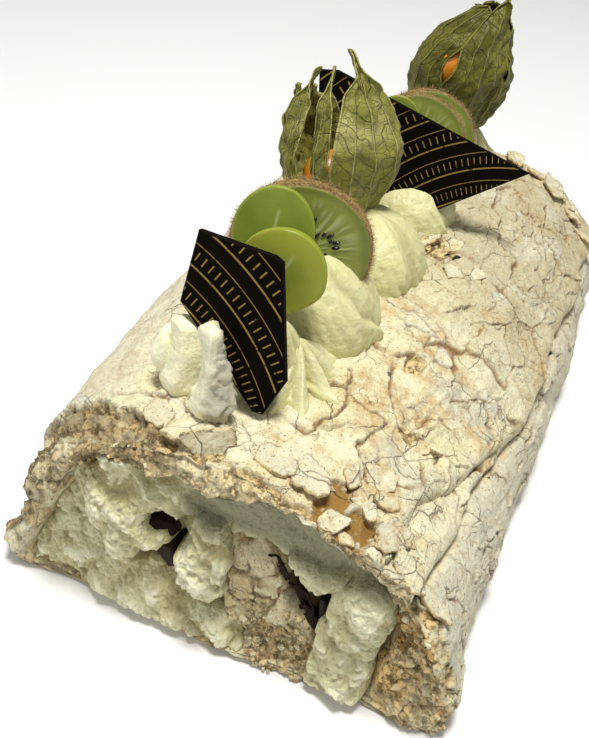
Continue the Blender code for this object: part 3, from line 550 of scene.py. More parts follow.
def skin_relief(arc, along, points):
    """Height of the crust above the smooth roll, and the fields that colour it."""
    x, flat = points[:, 0], xyz(arc, along, 0.0)
    left = smooth(ARC_END * 0.62, ARC_END * 0.74, arc)
    swell = noises(points, (1.3, 36, 3), (1.2, 14, 4))

    def warped(value, seed, *seeds):
        fine = noises(flat, *zip((1.3, 0.6, 0.25), (5, 2.1, 1.0), seeds))
        return value + 3.5 * noise(flat, 16, seed) + fine

    # Large plates, lifted and tipped one by one, with curled edges
    warp_a, warp_b = warped(arc, 11, 12, 13, 10), warped(along, 14, 15, 16, 9)
    edge, own, strength, du, dv = plates(warp_a, warp_b * 0.72, 17.0, 21)
    strong = smooth(0.22, 0.45, strength) * smooth(-0.45, 0.05, noise(flat, 11, 17)) * (1 - 0.7 * left)
    lift = 0.95 * (chance(31, own) * 2 - 1)
    lift += 0.07 * (chance(32, own) * 2 - 1) * du
    lift += 0.07 * (chance(33, own) * 2 - 1) * dv
    crack = bell(edge, 0.26 + 0.55 * smooth(0.0, 0.6, noise(flat, 13, 18))) * strong
    curl = 0.45 * np.exp(-edge / 1.5) * strong
    height = swell + (lift * smooth(0, 0.8, edge) * strong + curl) * (1 - 0.6 * left) - 1.5 * crack

    # Patches of small plates, and hair cracks
    patch = smooth(0.05, 0.40, noise(flat, 26, 41)) * (1 - left)
    small_edge, small, small_strength, _, _ = plates(warp_a + 50, warp_b * 0.85, 6.5, 51)
    small_crack = bell(small_edge, 0.30) * smooth(0.30, 0.55, small_strength) * patch
    height += patch * 0.5 * (chance(52, small) * 2 - 1) * smooth(0, 0.6, small_edge)
    height -= small_crack
    hair = bell(noises(flat, (1, 9, 61), (0.3, 3, 62)), 0.022)
    hair *= smooth(0.1, 0.4, noise(flat, 18, 63)) * 0.8
    height -= 0.25 * hair

    # Wrinkles, grain and the dents of the left flank
    wrinkle = xyz(arc / 4.0 + along / 40, along / 20.0, 0.0)
    height += 0.5 * (1 - np.abs(noise(wrinkle, 1.0, 71)) * 2) * smooth(-0.1, 0.25, noise(flat, 30, 72))
    height += 0.40 * layered(points, 5, 3, 5) + 0.10 * noise(points, 1.3, 8)
    height += 4.0 * left * bell(points[:, 2] - 38, 15) * smooth(-85, -115, along)
    height += left * 0.8 * (1 - 2 * np.abs(noise(xyz(arc / 11, along / 70, 0.0), 1.0, 73)))

    first = arc - fold_arc(FOLD, along + 3 * noise(flat, 9, 81))
    second = arc - fold_arc(SECOND_FOLD, along)
    fold = 4.2 * np.exp(-np.abs(first) / 2.0) - 1.7 * bell(first - 6, 4.5)
    fold += smooth(-38, -52, along) * (3.0 * np.exp(-np.abs(second) / 1.8) - 1.2 * bell(second - 5, 4))
    height -= fold

    pit = np.zeros_like(arc)
    for at_x, at_y, long, wide, depth in PITS:
        at_arc = arc_at(at_x, HEIGHT if abs(at_x) < 20 else 66)
        far = np.hypot((arc - at_arc) / wide, (along - at_y) / long)
        hole = smooth(1.15, 0.75, far + 0.35 * noise(flat, 3.5, 91))
        height -= depth * hole * (0.8 + 0.5 * noise(flat, 2.0, 92))
        pit = np.maximum(pit, hole)

    # Towards the cut the skin is broken off, and lumps and crumbs show
    rough = noises(flat, (3.2, 8, 95), (2.0, 3, 96), (0.8, 1.2, 97))
    broken = smooth(0.4, -0.4, along - np.interp(x, *zip(*SKIN_EDGE)) - rough)
    chunk_edge, chunk, _, cu, cv = plates(warp_a * 1.1, warp_b, 7.5, 95)
    chunks = (chance(96, chunk) - 0.5) * 1.8 * smooth(0, 0.6, chunk_edge)
    chunks += 0.10 * ((chance(93, chunk) - 0.5) * cu + (chance(94, chunk) - 0.5) * cv)
    ragged = smooth(-15, -30, x)
    lows = layered(points, 7.0, 2, 90)
    crumbs = mix(1.2, 2.6, ragged) * lows
    crumbs += mix(0.8, 1.5, ragged) * layered(points, 2.4, 3, 98, 0.65)
    height = mix(height, swell - 2.0 + chunks + crumbs, broken)

    pool = smooth(-1.0, 0.6, inside(x, along, SYRUP) + 1.5 * noise(flat, 3, 99))
    grains = smooth(0.22, 0.40, noises(flat, (1, 3.2, 87), (0.5, 1.4, 88)))
    bed = swell - 2.0 + 0.5 * noise(flat, 4, 100) + grains * (1.0 + 0.8 * noise(flat, 1.6, 89))
    height = mix(height, bed, pool)

    open_skin = 1 - np.maximum(broken, pool)
    toast = smooth(0.0, 0.55, noises(points, (1, 30, 101), (0.6, 8, 102)))
    halo = 0.55 * np.exp(-edge / 1.2) * strong * smooth(-0.2, 0.3, noise(flat, 12, 104))
    # Painted shade: recesses of the skin get more of the toasted colour
    recess_shade = 0.3 * smooth(-0.6, -2.6, height - swell)
    blush = 0.45 * np.exp(-((x - 18) / 11) ** 2 - ((along + 70) / 15) ** 2)
    toast = np.clip(0.8 * toast + halo + recess_shade + blush + 0.25 * smooth(-40, 60, along), 0, 1)
    white = smooth(0.15, 0.5, noise(points, 20, 103)) * 0.7 + 0.9 * smooth(2, -4, first) + 0.6 * left
    white += smooth(1.6, 0.6, small_edge) * patch * (chance(53, small) > 0.7)
    pale_chunk = (chance(97, chunk) > mix(0.5, 0.68, smooth(-20, -35, x))) * smooth(0.3, 1.0, chunk_edge)
    inner = np.maximum(broken * (1 - 0.8 * pale_chunk), 0.85 * pit)
    # Gaps between chunks are dark, and low crumbs of the ragged rim get painted shade
    gaps_and_shade = broken * np.maximum(smooth(0.45, 0.1, chunk_edge) * 0.3, 0.25 * ragged * smooth(0.05, -0.35, lows))
    return height, {
        "crack": np.clip((0.95 * crack + 0.8 * small_crack + 0.55 * hair) * open_skin + gaps_and_shade, 0, 1),
        "toast": np.clip(toast * open_skin + broken * chance(98, chunk), 0, 1),
        "pale": np.maximum(np.clip(white, 0, 1) * open_skin, 0.8 * pool * grains),
        "crumb": np.clip(inner, 0, 1) * (1 - pool),
        "syrup": pool * (1 - grains),
        # Painted shade towards the far end
        "far_end_shade": smooth(-55, 30, along) * open_skin,
        "warm": np.zeros_like(arc),
        # Painted shade over the ragged part of the broken edge
        "painted_shade": 0.68 * broken * ragged * smooth(-0.6, 0.2, noise(points, 7, 105)),
    }


# Section of the cream at the cut, as X and Z, from the right foot over the top to the left foot
CREAM_RIM = ((46, 3.5), (47.5, 12), (50, 22), (51.5, 32), (50, 42), (46, 49), (42, 53), (36, 56.5),
             (28, 61), (20, 63), (8, 63.5), (1, 60), (-9, 59.5), (-16, 62), (-26, 60.5), (-36, 60),
             (-43, 56.5), (-50, 48), (-55, 36), (-61, 24), (-66, 12), (-66, 3.5))


def rim_point(share):
    """X and Z of the cream's rim at a share of its length."""
    points = np.asarray(CREAM_RIM, float)
    length = lengths(points)
    return (np.interp(share * length[-1], length, points[:, column]) for column in (0, 1))


def face_plane(x, z):
    """Y of the cut end, which leans back and bulges out at its foot."""
    return -123.0 + 0.06 * z - 3 * np.exp(-((x - 8) / 46) ** 2 - (np.maximum(z, 0) / 20) ** 2)


def squeezed(points):
    """Points of the channel, drawn in towards its middle line between the two ends of the roll."""
    return (points - (0, 0, MIDDLE)) * (CHANNEL_WAIST, 1.0, CHANNEL_WAIST) + (0, 0, MIDDLE)


def broken_rim(outer, rim_x, rim_z, sign, count):
    """Broken edge between the skin and the channel at one end of the roll, and its fields."""
    made, marks = [], []
    for t in np.arange(1, count + 1) / count:
        x, z = mix(outer[:, 0], rim_x, t), mix(outer[:, 2], rim_z, t)
        plane = mix(outer[:, 1], face_plane(x, z), smooth(0, 0.5, t)) if sign < 0 else outer[:, 1]
        flat = xyz(x, 40.0 * sign, z)
        wx = noises(flat, (1.6, 5, 126), (0.6, 1.8, 124), onto=x)
        wz = noises(flat, (1.6, 5, 125), (0.6, 1.8, 123), onto=z)
        edge, own, _, dx, dz = plates(wx, wz, 8.5, 127)
        high = smooth(36, 50, z) * smooth(-24, -14, x)
        bumps = 2.0 * layered(flat, 12.0, 2, 121)
        bumps += mix(1.1, 0.55, high) * layered(flat, 3.0, 4, 122, 0.65)
        level = mix(2.9, 1.2, high) * (chance(128, own) - 0.5)
        level += 0.50 * ((chance(141, own) - 0.5) * dx + (chance(142, own) - 0.5) * dz)
        bumps += level * smooth(0, 0.6, edge)
        cover = smooth(0, 0.10, t)
        corner = 0.5 * smooth(50, 60, x) * smooth(38, 12, z)
        ledge = smooth(40, 54, z) * smooth(0.05, 0.35, t)
        tuck = 5.0 * smooth(0.84, 1.0, t) ** 2
        y = plane + sign * (bumps + 3.5 * corner + 2.8 * ledge) * cover - sign * tuck
        z = z + 1.2 * noise(flat, 5, 129) * cover * (1 - t)
        made.append(xyz(x, y, np.maximum(z, 0.0)))
        lefty = smooth(-46, -54, x)
        right = smooth(44, 52, x) * smooth(44, 34, z)
        # The rim at the upper left is browner crumb, with painted shade over it
        brown_and_shaded = smooth(-50, -44, x) * smooth(-14, -22, x) * smooth(40, 48, z)
        most = mix(0.9, 0.55, np.maximum(high, lefty))
        crumb = mix(mix(0.1, 0.8, brown_and_shaded), most, smooth(0.35, 0.65, chance(143, own)))
        # Dark gaps between plates, and painted shade in patches of the brown area
        gaps_and_shade = 0.35 * smooth(0.5, 0.1, edge) + 0.30 * brown_and_shaded * smooth(-0.35, 0.25, noise(flat, 2.4, 131))
        pale = 0.65 * (chance(145, own) > mix(0.75, 0.35, lefty)) * (1 - brown_and_shaded) * (1 - 0.85 * right)
        marks.append({
            "crumb": cover * np.clip(crumb + 0.35 * noise(flat, 3, 130) + 0.35 * right, 0, 1),
            "crack": cover * gaps_and_shade,
            "toast": cover * 0.7 * chance(144, own),
            "pale": cover * pale,
            "warm": cover * right,
            # Painted shade over the brown area
            "painted_shade": cover * 0.70 * brown_and_shaded * smooth(-0.6, 0.2, noise(flat, 7, 132)),
        })
    return np.stack(made), {key: np.stack([mark[key] for mark in marks]) for key in marks[0]}


def build_crust():
    """The outer turn of meringue: skin, broken rims at both ends, channel and floor."""
    # Columns are denser from the right foot over the top, and rows towards the cut
    arcs = np.concatenate([np.linspace(0, 150.0, round(366 * FINE), endpoint=False),
                           np.linspace(150.0, ARC_END, round(76 * FINE))])
    spans = ((BACK_END, 22.0, round(86 * FINE)), (22.0, -58.0, round(132 * FINE)),
             (-58.0, None, round(152 * FINE)))
    rim_rows, inner_rows, under = round(36 * FINE), 6, 12
    angles = np.interp(arcs, ARC_LENGTH, ARC_ANGLE)
    base, _ = roll_point(angles, np.full(len(arcs), -118.0))
    cut = cut_line(base[:, 0])
    rows = [np.full(len(arcs), BACK_END)]
    for start, end, count in spans:
        for share in np.linspace(0, 1, count + 1)[1:]:
            rows.append(mix(start, cut if end is None else end, share) + np.zeros(len(arcs)))
    along = np.stack(rows)
    arc, angle = (np.broadcast_to(values, along.shape).ravel() for values in (arcs, angles))
    points, normals = roll_point(angle, along.ravel())
    height, fields = skin_relief(arc, along.ravel(), points)
    foot = smooth(0, 9, points[:, 2])
    points = points + normals * (height * foot)[:, None]
    points[:, 1] += 0.5 * noise(points, 4, 111) * foot
    skin = points.reshape(*along.shape, 3)
    skin[:, 0, 2] = skin[:, -1, 2] = 0.0
    # The foot of the cut spreads at both corners
    near = smooth(-100, -122, skin[..., 1]) * smooth(26, 8, skin[..., 2])
    skin[..., 0] += np.where(skin[..., 0] > 0, 3.5, -6.5) * near
    t = np.linspace(0, 1, under + 2)[1:-1]
    floor_part = skin[:, -1:, :] * (1 - t)[None, :, None] + skin[:, :1, :] * t[None, :, None]
    floor_part[..., 2] = 0.0
    ring = np.concatenate([skin, floor_part], axis=1)
    columns = ring.shape[1]
    rim_x, rim_z = rim_point(arcs / ARC_END)
    rim_x = np.concatenate([rim_x, mix(CREAM_RIM[-1][0], CREAM_RIM[0][0], t)])
    rim_z = np.concatenate([rim_z, np.full(under, 3.5)])
    front_rim, front_marks = broken_rim(ring[-1], rim_x, rim_z, -1, rim_rows)
    back_rim, back_marks = broken_rim(ring[0], rim_x, rim_z, 1, rim_rows // 2)
    middle = squeezed(np.stack([mix(front_rim[-1], back_rim[-1], t)
                                for t in np.linspace(0, 1, inner_rows + 2)[1:-1]]))
    whole = np.concatenate([back_rim[::-1], ring, front_rim, middle])
    for name, value in fields.items():
        skin_part = np.zeros(ring.shape[:2])
        skin_part[:, :len(arcs)] = value.reshape(along.shape)
        back_part, front_part = (marks.get(name, np.zeros(rim.shape[:2]))
                                 for rim, marks in ((back_rim, back_marks), (front_rim, front_marks)))
        fields[name] = np.concatenate([back_part[::-1], skin_part, front_part, np.zeros(middle.shape[:2])])
    looped = np.pad(whole, ((2, 2), (2, 2), (0, 0)), mode="wrap")
    way = grid_normals(looped)[2:-2, 2:-2]
    # Three pieces share the loops of points where they meet
    second = len(back_rim) + spans[0][2]
    third = second + spans[1][2]
    end = len(back_rim) + len(ring) + rim_rows
    parts = (("crust_front", list(range(third, end + inner_rows // 2))),
             ("crust_middle", list(range(second, third + 1))),
             ("crust_back", [*range(end + inner_rows // 2 - 1, len(whole)), *range(second + 1)]))
    pieces = []
    for name, part in parts:
        column = np.arange(columns)
        after = (column + 1) % columns
        # The seam inside the roll has points of its own, so it leaves the shading alone
        loops = [whole[part[0]], whole[part[-1]]]
        if name == "crust_middle":
            loops = [loops[0], squeezed(loops[0]), squeezed(loops[1]), loops[1]]
        seam = np.concatenate(loops)
        cap = np.concatenate([np.stack([after, column, columns + column, columns + after], -1)
                              + (len(part) + step) * columns for step in range(len(loops) - 1)])
        points = np.concatenate([whole[part].reshape(-1, 3), seam])
        extra = {key: np.concatenate([value[part].ravel(), np.zeros(len(seam))])
                 for key, value in fields.items()}
        normals = np.concatenate([way[part].reshape(-1, 3), np.tile([(0.0, 1.0, 0.0)], (len(seam), 1))])
        faces = np.concatenate([grid_faces(len(part), columns, closed=True), cap])
        pieces.append(make_piece(name, points, faces, "meringue", extra, normals))
    return pieces, front_rim, skin


# The cut face

# Lobes of the cream at the cut: outline as X and Z, level out of the face, roundness of the edge
# and slope of the level with height
CREAM_LOBES = {
    "left mass": (((-50, 50), (-55, 36), (-61, 24), (-70, 10), (-68, -4), (-44, -4), (-37, 12), (-40, 26),
                   (-45, 40)), -2.5, 6.0, -0.06),
    "bottom mass": (((-52, -4), (-42, 14), (-38, 22), (-30, 19), (-24, 23), (-17, 22), (-11, 17), (-4, 15),
                     (3, 14), (8, 8), (8, 2), (4, -6)), 0.5, 6.0, -0.08),
    "band": (((-47, 60), (-38, 66), (-20, 68), (10, 70), (34, 66), (46, 57), (53, 48), (51, 42), (45, 41),
              (40, 42), (34, 41), (28, 40), (22, 42), (16, 42.5), (10, 43), (4, 43.5), (-3, 42.5),
              (-10, 44), (-16, 41), (-24, 43), (-30, 36), (-40, 40)), -5.0, 2.0, 0.19),
    "left lobe": (((-45, 51), (-40, 58), (-31, 60.5), (-23.5, 60), (-14, 55), (-8, 50), (-12, 46.5),
                   (-19, 45.5), (-24.5, 43.5), (-24, 40.5), (-16, 39.5), (-15, 36.5), (-21.5, 33),
                   (-29, 24), (-35, 24), (-40, 32), (-45, 41)), 5.5, 3.0, -0.13),
    "inner lump": (((-10, 48.5), (-6, 49.5), (-1.5, 47), (1.1, 38.7), (1.8, 23.8), (-3.3, 19.4),
                    (-8.7, 20), (-12.8, 23.5), (-16, 30), (-11.5, 37.5)), 5.0, 4.0, -0.05),
    "right low": (((31, 27.5), (38, 23), (46, 20), (49, 13), (49.5, 0), (41, -3), (29.5, -1), (30, 13.5)),
                  3.0, 4.0, -0.08),
    "right middle": (((33, 38), (38.5, 45), (44, 47), (50, 46), (52, 42), (50.6, 33), (47, 20.5),
                      (39, 20.5), (33, 25.5)), 5.0, 5.0, 0.0),
    "right upper": (((19, 46), (23, 46), (29, 45), (36, 44.5), (35, 39), (31, 35.5), (24, 36),
                     (20.5, 38.5)), 2.5, 3.0, 0.0),
}
# Holes in the cream: X, Z, half width, half height, depth behind the middle of the face
CREAM_HOLES = ((-20.5, 40.5, 4.8, 2.0, 8.0), (-14.0, 38, 3.2, 5.0, 6.0), (-18, 28, 5.0, 4.0, 9.0),
               (20, 33, 4.4, 8.0, 16.0), (26, 23, 3.8, 10.0, 14.0))


def cream_front(x, z):
    """Y of the cream at the cut, and its fields."""
    flat, swirl = xyz(x, 0.0, z), xyz(x, 5.0, z)
    wx = noises(flat, (1.3, 6, 201), (0.6, 2.2, 202), onto=x)
    wz = noises(flat, (1.3, 6, 203), (0.6, 2.2, 204), onto=z)
    level = np.full(len(x), -9.0)
    around = []
    for outline, height, round_edge, slope in CREAM_LOBES.values():
        depth = inside(wx, wz, outline)
        dome = 1 - np.exp(-np.maximum(depth, 0) / round_edge)
        lobe = height - 3.0 + 3.0 * dome + slope * (z - 30)
        around.append((depth, lobe))
        lobe = np.where(depth > 0, lobe, lobe - 14 * smooth(0, 1.0, -depth))
        level = np.maximum(level, np.where(depth > -1.0, lobe, -9.0))
    # Shade at the foot of each lobe
    foot = np.zeros(len(x))
    for depth, lobe in around:
        near = np.exp(-np.maximum(-depth, 0) / 2.2) * (depth < 0.3)
        foot = np.maximum(foot, near * smooth(1.0, 3.5, lobe - level))
    swirled = swirl + xyz(3.0 * noise(flat, 14, 205), 0.0, 3.0 * noise(flat, 14, 206))
    lumps = 2.4 * billow(swirled, 13, 211) + 1.0 * billow(swirled, 5.5, 212)
    lumps += 0.95 * billow(swirl, 2.6, 213) + 0.65 * noise(swirl, 1.4, 214)
    folds = xyz((x + 0.5 * z) / 26.0, 0.0, (z + 0.62 * x + 2.5 * noise(flat, 12, 216)) / 7.0)
    lumps += 1.9 * (1 - 2 * np.abs(noise(folds, 1.0, 215))) - 1.0
    # The slab under the crust has softer lumps and a grey painted shade
    slab = smooth(0, 6, inside(x, z, CREAM_LOBES["band"][0])) * smooth(-18, -8, x)
    level += (lumps - 1.4) * (1 - 0.55 * slab)
    for at_x, at_z, wide, high, deep in CREAM_HOLES:
        far = np.hypot((wx - at_x) / wide, (wz - at_z) / high)
        level = mix(level, -deep, smooth(1.15, 0.75, far))
    y = face_plane(x, z) - level
    y += 4.0 * smooth(4.0, 0.0, z) ** 2
    stain = smooth(4.5, 1.0, np.hypot(x + 3, (z - 38) / 1.3)) * 0.5
    stain += 0.6 * smooth(3.0, 0.5, np.hypot(x - 49, (z - 38) / 1.1))
    # Painted shade in the hollows between lumps and at the foot of the lobes, less on the slab, and a darker
    # tone over the right of the face; a painted highlight on the crests
    hollow = np.maximum(smooth(1.5, 0.4, lumps) * (1 - 0.7 * slab), foot)
    return y, {"stain": np.clip(stain, 0, 1) * smooth(-0.3, 0.5, noise(flat, 2.0, 217)),
               "hollow": np.maximum(hollow, 0.22 * smooth(24, 34, x)),
               "crest": smooth(1.9, 3.4, lumps) * (1 - foot) * (1 - slab), "grey": slab}


# Outline of the inner turn of meringue at the cut, as X and Z
CORE = ((-2, 1), (12, 0.6), (32, 0.6), (30, 12), (27, 24), (24, 34), (22, 45), (12, 51), (2, 51), (-3, 44),
        (-2, 30), (0, 20), (1, 10))
# Pale plates of the inner turn: outline as X and Z, level, slopes across and up
CORE_PLATES = (
    (((4, 41.5), (9.5, 44.5), (15, 41.5), (15.7, 36.5), (11.6, 33.9), (7.6, 37.6)), 1.5, -0.10, -0.10),
    (((1.8, 31.5), (8.6, 32.4), (9.7, 25.3), (6.1, 21.8), (2.1, 24.9)), 0.8, -0.16, 0.08),
    (((11.8, 33), (16.9, 36), (18.4, 33.2), (14.7, 26.2), (9.9, 25.5)), 0.4, 0.16, 0.12),
    (((18.1, 29.7), (25.9, 25.3), (20.9, 19.9), (14.6, 19.2)), 2.6, 0.10, -0.25),
    (((2.3, 40), (6.5, 37.8), (7.3, 33.8), (2, 32.6)), 0.2, 0.14, -0.06),
)


def core_front(x, z):
    """Y of the inner turn of meringue at the cut, and its fields."""
    flat = xyz(x, 9.0, z)
    wx = noises(flat, (1.4, 4.5, 231), (0.5, 1.7, 229), onto=x)
    wz = noises(flat, (1.4, 4.5, 232), (0.5, 1.7, 230), onto=z)
    edge, own, _, dx, dz = plates(wx, wz, 5.5, 233)
    upper = smooth(14, 20, z)
    slab = (chance(234, own) * 3.0 - 1.5 + 0.45 * (chance(235, own) - 0.5) * dx
            + 0.45 * (chance(236, own) - 0.5) * dz) * smooth(0, 0.7, edge)
    crumbs = 1.3 * layered(flat, 7.0, 2, 240) + 1.0 * layered(flat, 2.8, 4, 237, 0.65)
    belly = 2.5 * np.exp(-((x - 8) / 9) ** 2 - ((z - 28) / 13) ** 2)
    level = belly + slab * mix(1.0, 0.5, upper) + crumbs * mix(1.0, 0.7, upper) - 2.5
    level += 3.0 * smooth(10, 0, z) * smooth(4, 12, x)
    pale, seams = np.zeros_like(x), np.zeros_like(x)
    for outline, top, lean_x, lean_z in CORE_PLATES:
        depth = inside(wx * 0.5 + x * 0.5, wz * 0.5 + z * 0.5, outline) + 0.3 * noise(flat, 2.2, 228)
        sheet = smooth(-0.25, 0.15, depth)
        middle_x, middle_z = np.mean(outline, axis=0)
        plate = belly - 2.5 + top + lean_x * (x - middle_x) + lean_z * (z - middle_z)
        level = mix(level, noises(flat, (0.35, 3.5, 227), (0.15, 1.2, 224), onto=plate), sheet)
        pale = np.maximum(pale, sheet)
        seams = np.maximum(seams * (1 - sheet), bell(depth + 0.3, 0.45))
    level -= 4.5 * smooth(38, 47, z)
    cavity = smooth(17.5, 20, wx + 0.22 * (z - 35)) * smooth(25, 29, z)
    level = mix(level, -13.0, cavity)
    gaps_and_shade = np.maximum(0.4 * smooth(0.5, 0.1, edge) * (1 - pale), 0.7 * seams)
    # Painted shade: the cavity beside the inner turn is painted dark; the inner turn is also darker towards
    # its bottom
    gaps_and_shade = np.maximum(gaps_and_shade, np.maximum(0.9 * smooth(0.3, 0.9, cavity), 0.22 * smooth(22, 10, z)))
    bare = mix(0.25, 0.9, smooth(0.3, 0.7, chance(238, own) + 0.3 * noise(flat, 3, 226)))
    return face_plane(x, z) - level, {
        "crumb": np.maximum(bare * (1 - pale), 0.12 * pale), "crack": np.maximum(gaps_and_shade, 0.10 * pale),
        "pale": 0.10 * pale, "syrup": np.zeros_like(x),
        "toast": np.maximum(0.9 * chance(225, own), smooth(3, 0, x) * upper)}


def block(outline, spacing, front, back, grow, tuck):
    """Solid that runs through the roll, with relief at its two ends. Its rim is tucked back and it
    is narrower between its ends. Returns points, faces and the fields of the front."""
    points = np.asarray(outline, float)
    xs = np.arange(points[:, 0].min() - grow, points[:, 0].max() + grow + spacing, spacing)
    zs = np.arange(0.4, points[:, 1].max() + grow + spacing, spacing)
    x, z = np.meshgrid(xs, zs, indexing="ij")
    depth = inside(x.ravel(), np.maximum(z.ravel(), 1.0), outline).reshape(x.shape) + grow
    keep = depth > 0
    quads = keep[:-1, :-1] & keep[1:, :-1] & keep[1:, 1:] & keep[:-1, 1:]
    number = np.arange(x.size).reshape(x.shape)
    used, faces = np.unique(np.stack([corner[quads] for corner in (
        number[:-1, :-1], number[1:, :-1], number[1:, 1:], number[:-1, 1:])], -1), return_inverse=True)
    faces = faces.reshape(-1, 4)
    x, z, depth = x.ravel()[used], z.ravel()[used], depth.ravel()[used]
    y_front, fields = front(x, z)
    tucked = tuck * smooth(grow + 0.8, 0.0, depth) ** 2
    y_front, y_back = y_front + tucked, back(x, z) - tucked
    count = len(used)
    edges = np.concatenate([faces[:, [side, (side + 1) % 4]] for side in range(4)])
    known = set(map(tuple, edges.tolist()))
    rim = np.array([(a, b) for a, b in known if (b, a) not in known])
    border = np.unique(rim)
    step = np.full(count, -1)
    step[border] = np.arange(len(border))
    near = xyz(x[border] * FILLING_WAIST, y_front[border] + 14,
               MIDDLE + (z[border] - MIDDLE) * FILLING_WAIST)
    far = near.copy()
    far[:, 1] = y_back[border] - 14
    points = np.concatenate([xyz(x, y_front, z), xyz(x, y_back, z), near, far])
    a, b = rim.T
    near_a, near_b = step[a] + 2 * count, step[b] + 2 * count
    far_a, far_b = near_a + len(border), near_b + len(border)
    faces = np.concatenate([
        faces, faces[:, ::-1] + count, np.stack([b, a, near_a, near_b], -1),
        np.stack([near_b, near_a, far_a, far_b], -1), np.stack([far_b, far_a, a + count, b + count], -1)])
    return points, faces, {key: np.concatenate([value, value, np.zeros(2 * len(border))])
                           for key, value in fields.items()}


def cream_back(x, z):
    """Y of the cream at the far end."""
    return BACK_END - 1 - 0.08 * z + 1.2 * layered(xyz(x, 77.0, z), 8, 4, 241)


def core_back(x, z):
    """Y of the inner turn of meringue at the far end."""
    return BACK_END - 0.5 - 0.08 * z + 1.6 * layered(xyz(x, 55.0, z), 5, 4, 242, 0.6)


def build_filling():
    """The cream between the turns and the inner turn of meringue, both through the whole roll."""
    spacing = 0.46 / FINE
    outline = [(x, max(z, 0.0)) for x, z in CREAM_RIM]
    points, faces, fields = block(outline, spacing, cream_front, cream_back, 2.0, 7.0)
    cream = make_piece("cream_layers", points, faces, "cream", fields)
    points, faces, fields = block(CORE, spacing * 1.1, core_front, core_back, 0.5, 8.0)
    return cream, make_piece("inner_turn", points, faces, "meringue", fields)


# Toppings

class Heap:
    """Many small closed shapes gathered into one mesh."""

    def __init__(self):
        self.points, self.faces, self.fields, self.count = [], [], {}, 0

    def add(self, points, faces, **fields):
        self.points.append(points)
        self.faces += [tuple(int(corner) + self.count for corner in face) for face in faces]
        for key, value in fields.items():
            self.fields.setdefault(key, []).append(np.zeros(len(points)) + value)
        self.count += len(points)

    def piece(self, name, food):
        fields = {key: np.concatenate(value) for key, value in self.fields.items()}
        return make_piece(name, np.concatenate(self.points), self.faces, food, fields)


def turned(yaw=0.0, lean=0.0, roll=0.0):
    """Rotation about Z, then X, then Y, in degrees, as a 3 x 3 array."""
    made = (Matrix.Rotation(math.radians(yaw), 3, "Z") @ Matrix.Rotation(math.radians(lean), 3, "X")
            @ Matrix.Rotation(math.radians(roll), 3, "Y"))
    return np.array(made)


def bearings(around):
    """Even angles round a ring."""
    return TURN * np.arange(around) / around


def lathe(rings, around):
    """Points and faces of stacked closed rings with a point at either end."""
    count = len(rings)
    points = np.concatenate([rings[0].mean(0)[None], *rings, rings[-1].mean(0)[None]])
    faces = grid_faces(count, around, closed=True, first=1).tolist()
    low = 1 + (count - 1) * around
    for index in range(around):
        after = (index + 1) % around
        faces += [(0, 1 + after, 1 + index), (low + index, low + after, 1 + count * around)]
    return points, faces


def capped(rows):
    """Values on stacked rings, with one more for the point at either end."""
    return np.concatenate([rows[0][:1], *rows, rows[-1][:1]])


def unit_ball(around, levels):
    """Points and faces of a ball of radius 1."""
    angle = bearings(around)
    rings = []
    for level in range(1, levels):
        polar = math.pi * level / levels
        rings.append(xyz(np.cos(angle) * math.sin(polar), np.sin(angle) * math.sin(polar), -math.cos(polar)))
    points, faces = lathe(rings, around)
    points[0], points[-1] = (0, 0, -1), (0, 0, 1)
    return points, faces


# Star-shaped piped cream: X, Y, height, reach of the valleys, twist, seed and, for each point of its
# foot, bearing in degrees and reach
STARS = {
    "cream_swirl_front": (
        (-4.0, -78.0, 21.0, 8.0, 0.45, 3, (
            (50, 14.0), (5, 11.5), (-44, 11.0), (-82, 14.0), (-120, 14.0), (-160, 13.0), (155, 13.0),
            (104, 14.0))),
        (1.0, -75.0, 13.5, 5.0, 0.30, 5, (
            (52, 16.5), (16, 14.5), (-28, 16.0), (-74, 19.5), (-100, 20.0), (170, 12.0)))),
    "cream_swirl_back": ((8.0, 106.0, 17.0, 9.5, 0.6, 19, (
        (60, 15.5), (15, 14.0), (-30, 15.5), (-75, 16.0), (-120, 15.0), (-165, 14.0), (150, 15.0),
        (105, 14.0))),),
}
# Rosettes: X, Y, radius, height, angle where the fold starts, its pitch, seed
ROSETTES = {
    "cream_swirl_second": (-7.0, -43.0, 25.0, 25.5, 0.30, 0.28, 8),
    "cream_swirl_third": (-2.0, -2.0, 24.5, 20.0, -0.60, 0.04, 12),
    "cream_swirl_fourth": (0.5, 45.0, 21.5, 15.5, -0.40, 0.15, 15),
}
